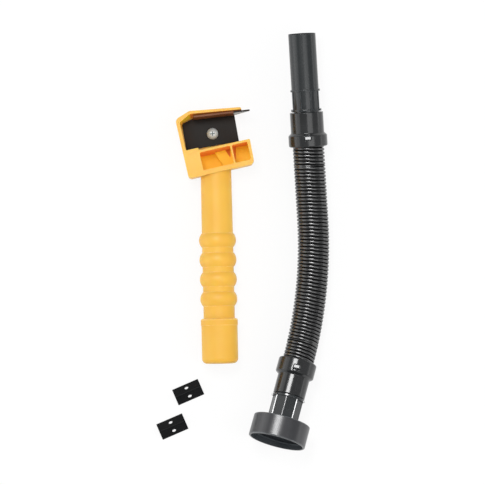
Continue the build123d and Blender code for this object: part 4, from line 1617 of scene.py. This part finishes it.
@dataclass
class Head:
    """The tool's head: a jaw below, a hook above, a thin web at the back.

    Args:
        depth: front to back.
        outline: corners of the whole head with the rounding of each.
        opening_back: corners of the opening at the web.
        opening_front: corners of the opening at the front.
        web: thickness of the web at the back.
        pockets: the pockets in the jaw, from left to right.
        slots: the narrow slots beside the rib in the jaw.
        front_skin: depth of the pockets' rims.
        shade_depth: how far the shade of a far wall reaches.
        over: how far the cutters stand out of the front.
        edge: rounding of the edges.
    """

    depth: float = 34.0
    outline: Sequence[Corner] = (
        (0.0, 0.0, 3.5), (64.3, 0.0, 2.5), (67.3, 3.0, 2.5), (68.2, 25.2, 1.2), (56.3, 25.2, 1.0),
        (56.3, 54.64, 0.0), (66.5, 53.52, 0.7), (66.5, 58.1, 1.6), (15.3, 65.8, 5.0),
        (0.0, 60.5, 5.0))
    opening_back: Sequence[Corner] = (
        (3.5, 28.0, 1.0), (16.0, 28.0, 0.6), (16.0, 25.2, 0.0), (70.3, 25.2, 0.0),
        (70.3, 53.1, 0.0), (15.3, 59.17, 3.0), (3.5, 57.0, 2.5))
    opening_front: Sequence[Corner] = (
        (3.5, 28.0, 1.0), (16.0, 28.0, 0.6), (16.0, 25.2, 0.0), (70.3, 25.2, 0.0),
        (70.3, 55.39, 0.0), (15.3, 62.8, 3.0), (3.5, 57.0, 2.5))
    web: float = 10.0
    pockets: Sequence[Pocket] = (
        Pocket(6.0, 3.4, ((16.0, 4.8, 1.4), (37.0, 4.8, 1.4), (30.0, 23.0, 0.6),
                          (16.0, 23.0, 1.4))),
        Pocket(17.0, 2.6, ((36.2, 4.8, 0.4), (47.4, 4.8, 1.2), (47.4, 23.0, 1.2),
                           (29.2, 23.0, 0.4))),
        Pocket(6.0, 2.2, ((49.0, 4.8, 1.4), (64.9, 4.8, 1.8), (64.9, 23.0, 1.4),
                          (49.0, 23.0, 1.4))),
    )
    slots: Sequence[Pocket] = (
        Pocket(7.0, 0.0, ((45.6, 10.0, 0.8), (47.2, 22.6, 0.8), (41.0, 22.6, 0.8))),
        Pocket(3.0, 0.0, ((50.3, 9.5, 0.7), (53.2, 22.6, 0.8), (49.2, 22.6, 0.8),
                          (49.2, 9.5, 0.5))),
    )
    front_skin: float = 1.1
    shade_depth: float = 5.0
    over: float = 2.0
    edge: float = 0.65

    def funnel(self, back: Sequence[Corner], front: Sequence[Corner], bottom: float) -> Shape:
        """Make a cutter from a back outline to a front outline, going on past the front.

        Args:
            back: corners at the bottom.
            front: corners at the head's front, as many.
            bottom: height of the back outline.

        Returns:
            The cutter.
        """
        shape = Shape()
        rings = []
        for corners, height in ((back, bottom), (front, self.depth)):
            rings.append([shape.bm.verts.new((x, y, height)) for x, y in rounded(corners)])
        slope = [(b.co - a.co) * (self.over / (self.depth - bottom)) for a, b in zip(*rings)]
        for vert, step in zip(rings[1], slope):
            vert.co += step
        shape.bm.faces.new(rings[0])
        shape.bm.faces.new(rings[1])
        for number in range(len(rings[0])):
            following = (number + 1) % len(rings[0])
            shape.bm.faces.new((rings[0][number], rings[0][following], rings[1][following],
                                rings[1][number]))
        return shape.close()

    def is_in_pocket(self, face: bmesh.types.BMFace) -> bool:
        """Tell whether a face lies inside the pockets, behind their rims."""
        first, last = self.pockets[0].corners, self.pockets[-1].corners
        (left, low, _), (_, high, _), (right, _, _) = first[0], first[2], last[1]
        x, y, z = face.calc_center_median()
        return (left - 0.3 < x < right + 0.3 and low - 0.3 < y < high + 0.3
                and 2.0 < z < self.depth - self.front_skin)

    def is_in_shade(self, face: bmesh.types.BMFace) -> bool:
        """Tell whether a face is a pocket's far wall, lies in a slot or is under the hook."""
        if self.is_in_hook(face):
            return face.normal.x < 0.1 and face.normal.y < -0.6
        if not self.is_in_pocket(face):
            return False
        x, y, z = face.calc_center_median()
        for slot in self.slots:
            across = [corner[0] for corner in slot.corners]
            if (z < slot.bottom + 0.5 and min(across) < x < max(across)
                    and y > slot.corners[0][1]):
                return True
        return face.normal.y < -0.6 and y > self.pockets[0].corners[2][1] - self.shade_depth

    def is_in_hook(self, face: bmesh.types.BMFace) -> bool:
        """Tell whether a face is an inner wall of the hook."""
        x, y, z = face.calc_center_median()
        faces_in = face.normal.y < -0.3 or (face.normal.x > 0.5 and x < self.opening_front[1][0])
        return (faces_in and x > 1.5 and y > self.opening_front[0][1]
                and self.web < z < self.depth - self.front_skin / 2)

    def build(self) -> Shape:
        """Return the head, with its back at z 0."""
        cutters = [self.funnel(self.opening_back, self.opening_front, self.web)]
        for pocket in self.pockets:
            cutters.append(self.funnel(pocket.bottom_corners(), pocket.corners, pocket.bottom))
        for slot in self.slots:
            height = self.depth / 2 - slot.bottom
            cutters.append(Shape().prism(rounded(slot.corners), height, slot.bottom))
        shape = Shape().prism(rounded(self.outline), self.depth).combine(cutters)
        shape.soften(self.edge, segments=3, angle=34.0)
        # Painted light: pocket faces and the hook's inner walls take the brighter, glowing yellow.
        shape.mark(1, lambda face: self.is_in_pocket(face) or self.is_in_hook(face))
        # Painted shade: far walls, slots and the hook's top wall take the orange-red finish.
        return shape.mark(2, self.is_in_shade)


@dataclass
class Blade:
    """The tool's blade: a flat leg under the screw and a leg to the front that ends in a point.

    Args:
        flat_leg: corners of the leg on the web.
        front_leg: corners of the leg that stands to the front.
        heel: where the front leg starts, on the flat leg's upper edge.
        bend_turn: degrees the upper edge falls to the right.
        lean: degrees the front leg leans back.
        thickness: of the sheet.
        hole: radius and place of the screw's hole.
        ground_from: where the ground underside of the point starts.
    """

    flat_leg: Sequence[Corner] = (
        (0.0, 0.0, 1.0), (53.4, 0.0, 0.8), (53.4, 28.0, 0.0), (12.0, 30.387, 1.0),
        (0.0, 26.8, 3.0))
    front_leg: Sequence[Corner] = (
        (0.0, 0.0, 0.0), (41.469, 0.0, 0.0), (41.469, 1.6, 0.0), (58.069, 23.0, 0.9),
        (0.0, 23.0, 1.2))
    heel: Point = (12.0, 30.387)
    bend_turn: float = 3.3
    lean: float = 4.0
    thickness: float = 1.6
    hole: tuple[float, float, float] = (2.65, 28.6, 12.0)
    ground_from: float = 52.8

    def leg_matrix(self) -> Matrix:
        """Return the placing of the front leg, whose outline runs across and to the front."""
        across = heading(-self.bend_turn)
        outward = (UP + UP.cross(across) * tan(radians(self.lean))).normalized()
        turn = axes(across, outward, across.cross(outward)).to_4x4()
        return Matrix.Translation((*self.heel, 0.0)) @ turn

    def build(self) -> Shape:
        """Return the blade, with its flat leg's back at z 0."""
        radius, x, y = self.hole
        leg = Shape().prism(rounded(self.front_leg), self.thickness).place(self.leg_matrix())
        shape = Shape().prism(rounded(self.flat_leg), self.thickness).combine([leg], "UNION")
        drill = Shape().peg(radius, -1.0, self.thickness + 1.0)
        drill.place(Matrix.Translation((x, y, 0)))
        shape.combine([drill]).soften(0.3)
        bmesh.ops.bisect_plane(shape.bm, geom=shape.parts, dist=ON_CUT,
                               plane_co=(self.ground_from, 0, 0), plane_no=(1, 0, 0))
        # Painted shade and reflection: the front leg under the hook takes the brown second finish; the point's
        # ground underside takes the pale third, partly a painted reflection.
        return shape.mark(1, self.is_under_hook).mark(2, self.is_ground)

    def is_under_hook(self, face: bmesh.types.BMFace) -> bool:
        """Tell whether a face is the front leg's underside or edge, painted brown for the shade and warm
        reflection of the yellow hook.
        """
        x, _, z = face.calc_center_median()
        return z > self.thickness + 0.1 and face.normal.y < 0.3 and x < self.ground_from

    def is_ground(self, face: bmesh.types.BMFace) -> bool:
        """Tell whether a face is the ground underside of the point, painted pale for its reflection of the white
        table.
        """
        x, _, z = face.calc_center_median()
        return z > self.thickness + 0.1 and face.normal.y < -0.3 and x >= self.ground_from


@dataclass
class Screw:
    """The pan head screw with its cross recess.

    Args:
        radius: of the shank.
        head_radius: of the head.
        head_height: of the dome.
        shank: length below the head.
        slot: length, width and depth of the recess.
        edge: rounding of the edges.
    """

    radius: float = 2.5
    head_radius: float = 5.7
    head_height: float = 3.8
    shank: float = 11.6
    slot: tuple[float, float, float] = (5.0, 1.1, 0.9)
    edge: float = 0.15

    def build(self) -> Shape:
        """Return the screw, with its head's seat at z 0."""
        dome = (self.head_radius ** 2 + self.head_height ** 2) / (2 * self.head_height)
        lowest = degrees(asin((dome - self.head_height) / dome))
        crown = arc((0.0, self.head_height - dome), dome, lowest, 90.0, 14)
        shape = Shape().turn([(0.0, -self.shank), (self.radius, -self.shank), (self.radius, 0.0),
                              (self.head_radius, 0.0), *crown[1:]], steps=64)
        length, width, depth = self.slot
        slots = [Shape().block(size, (0, 0, self.head_height)) for size in
                 ((length, width, 2 * depth), (width, length, 2 * depth))]
        middle = Vector((0.0, 0.0, self.head_height - dome))
        shape.combine(slots).soften(self.edge)
        # Painted shade: the faces inside the cross recess take the darker second finish.
        return shape.mark(1, lambda face: face.calc_center_median().z > self.head_height / 2
                          and (face.calc_center_median() - middle).length < dome - self.edge)


@dataclass
class CanTool:
    """The hooked can tool: handle, head, blade, screw and nut.

    Args:
        station: the middle of the handle's open end, looking to the head.
        head_along: distance of the head's corner along the handle.
        head_aside: distance of that corner to the left of the handle's axis.
        head_turn: degrees the head is turned from square.
        overlap: how far the handle reaches into the head.
        blade_place: the blade's corner in the head.
        blade_turn: degrees the blade is turned clockwise in the head.
        nut: distance across the flats and thickness of the nut.
        screw_play: between the screw and the nut.
    """

    station: Station
    grip: Grip = field(default_factory=Grip)
    head: Head = field(default_factory=Head)
    blade: Blade = field(default_factory=Blade)
    screw: Screw = field(default_factory=Screw)
    head_along: float = 184.9
    head_aside: float = 27.1
    head_turn: float = 11.7
    overlap: float = 1.0
    blade_place: Point = (4.0, 28.9)
    blade_turn: float = 3.0
    nut: Point = (8.0, 4.0)
    screw_play: float = 0.05

    @staticmethod
    def turned(station: Station, angle: float) -> Station:
        """Return a station that looks up, turned anticlockwise about the vertical."""
        spin = Matrix.Rotation(radians(angle), 3, "Z")
        return Station(station.origin, spin @ station.across, UP)

    def build(self) -> None:
        """Make the pieces of the tool."""
        corner = self.station.shifted(self.head_aside, -self.head.depth / 2, self.head_along)
        square = Station(corner.origin, -self.station.across, UP)
        head_place = self.turned(square, self.head_turn)
        to_grip = self.station.matrix.inverted() @ head_place.matrix
        limit = to_grip @ Vector((0.0, self.overlap, 0.0))
        beyond = (to_grip.to_3x3() @ Vector((0.0, 1.0, 0.0))).normalized()
        body = self.grip.build().cut_above(limit, beyond)
        body.join(self.head.build().place(to_grip))
        finished("tool_moulding", body, self.station, [TOOL_YELLOW, HOLLOW_PAINTED_LIGHT, POCKET_SHADE],
                 "tool", ["tool_handle"])
        blade_place = self.turned(head_place.shifted(*self.blade_place, self.head.web),
                                  -self.blade_turn)
        finished("blade_sheet", self.blade.build(), blade_place,
                 [BLADE_BLACK, BLADE_PAINTED_BROWN, BLADE_GROUND_AND_PAINTED_SHEEN], "tool", ["tool_blade"])
        _, x, y = self.blade.hole
        finished("screw_body", self.screw.build(), blade_place.shifted(x, y, self.blade.thickness),
                 [SCREW_ZINC, SCREW_RECESS_SHADE], "tool", ["blade_screw"])
        finished("nut_body", self.nut_shape(), blade_place.shifted(x, y, -self.head.web),
                 [NUT_ZINC], "tool", ["blade_nut"])

    def nut_shape(self) -> Shape:
        """Return the hexagonal nut."""
        across, thickness = self.nut
        corner = across / 2 / cos(pi / 6)
        corners = [(corner * cos(pi / 3 * i), corner * sin(pi / 3 * i)) for i in range(6)]
        hole = Shape().peg(self.screw.radius + self.screw_play, -1.0, thickness + 1.0)
        return Shape().prism(corners, thickness).combine([hole]).soften(0.3)


# ---- Spare blades -----------------------------------------------------------------------
@dataclass
class SpareBlade:
    """A short steel angle with a hole in each leg, standing on its two edges.

    Args:
        number: which of the two.
        leg: length of each leg.
        length: along the ridge.
        thickness: of the sheet.
        bend: outer radius of the bend.
        hole: radius of a hole and its distance from the leg's edge.
        turn: degrees its ridge is turned from the x direction.
    """

    number: int
    leg: float = 12.0
    length: float = 28.0
    thickness: float = 1.2
    bend: float = 1.8
    hole: Point = (2.0, 5.2)
    turn: float = 23.5

    def build(self) -> None:
        """Make the spare blade."""
        low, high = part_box(f"spare_blade_{self.number}")
        apex = Vector(((low.x + high.x) / 2, (low.y + high.y) / 2, high.z))
        ridge = heading(self.turn)
        leg, thickness = self.leg, self.thickness
        section = rounded([(0.0, 0.0, self.bend), (leg, 0.0, 0.0), (leg, thickness, 0.0),
                           (thickness, thickness, self.bend - thickness),
                           (thickness, leg, 0.0), (0.0, leg, 0.0)])
        sheet = Shape().prism(section, self.length, -self.length / 2)
        radius, from_edge = self.hole
        out = self.leg - from_edge
        drills = []
        for way, middle in (("X", (out, 0.0, 0.0)), ("Y", (0.0, out, 0.0))):
            swing = Matrix.Rotation(radians(90.0), 4, way)
            drills.append(Shape().peg(radius, -5.0, 5.0).place(Matrix.Translation(middle) @ swing))
        sheet.combine(drills).soften(0.2)
        left = (ridge.cross(UP) - UP).normalized()
        sheet.place(Matrix.Translation((-self.rise, -self.rise, 0.0)))
        finished(f"spare_sheet_{self.number}", sheet, Station(apex, left, ridge), [SPARE_BLACK],
                 f"spare_{self.number}", [f"spare_blade_{self.number}"])

    @property
    def rise(self) -> float:
        """How far along each leg the sheet's sharp corner would lie past its rounded bend."""
        return self.bend * (1 - cos(radians(45.0)))


# ---- The whole set -------------------------------------------------------------------------
def main() -> None:
    """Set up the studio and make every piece."""
    logging.basicConfig(level=logging.INFO, format="%(message)s")
    Studio().build()
    hose = Hose()
    hose.build()
    lower, upper = hose.lower_bell(), hose.upper_bell()
    Cuff(End.LOWER, lower, "base", 19.3, 15.5, 16.05, 36.5).build()
    Cuff(End.UPPER, upper, "spout_holder", 19.4, 12.5, 16.65, 34.3, tab_lean=13.4,
         tab_roll=-5.4).build()
    AdapterNeck(lower).build()
    mouth = Station.on_axis(*joint("cap_spin"))
    ScrewCap(mouth).build()
    FlangedInsert(mouth).build()
    Spout(upper).build()
    place, axis = axis_of(frame["record"]["mounts"], "handle_socket")
    CanTool(Station.on_axis(place, -axis)).build()
    for number in (1, 2):
        SpareBlade(number).build()
    SEAL_BLACK.dress("neck_o_ring", "spout_o_ring")
    RING_ZINC.dress("neck_snap_ring", "spout_snap_ring")


if __name__ == "__main__":
    main()
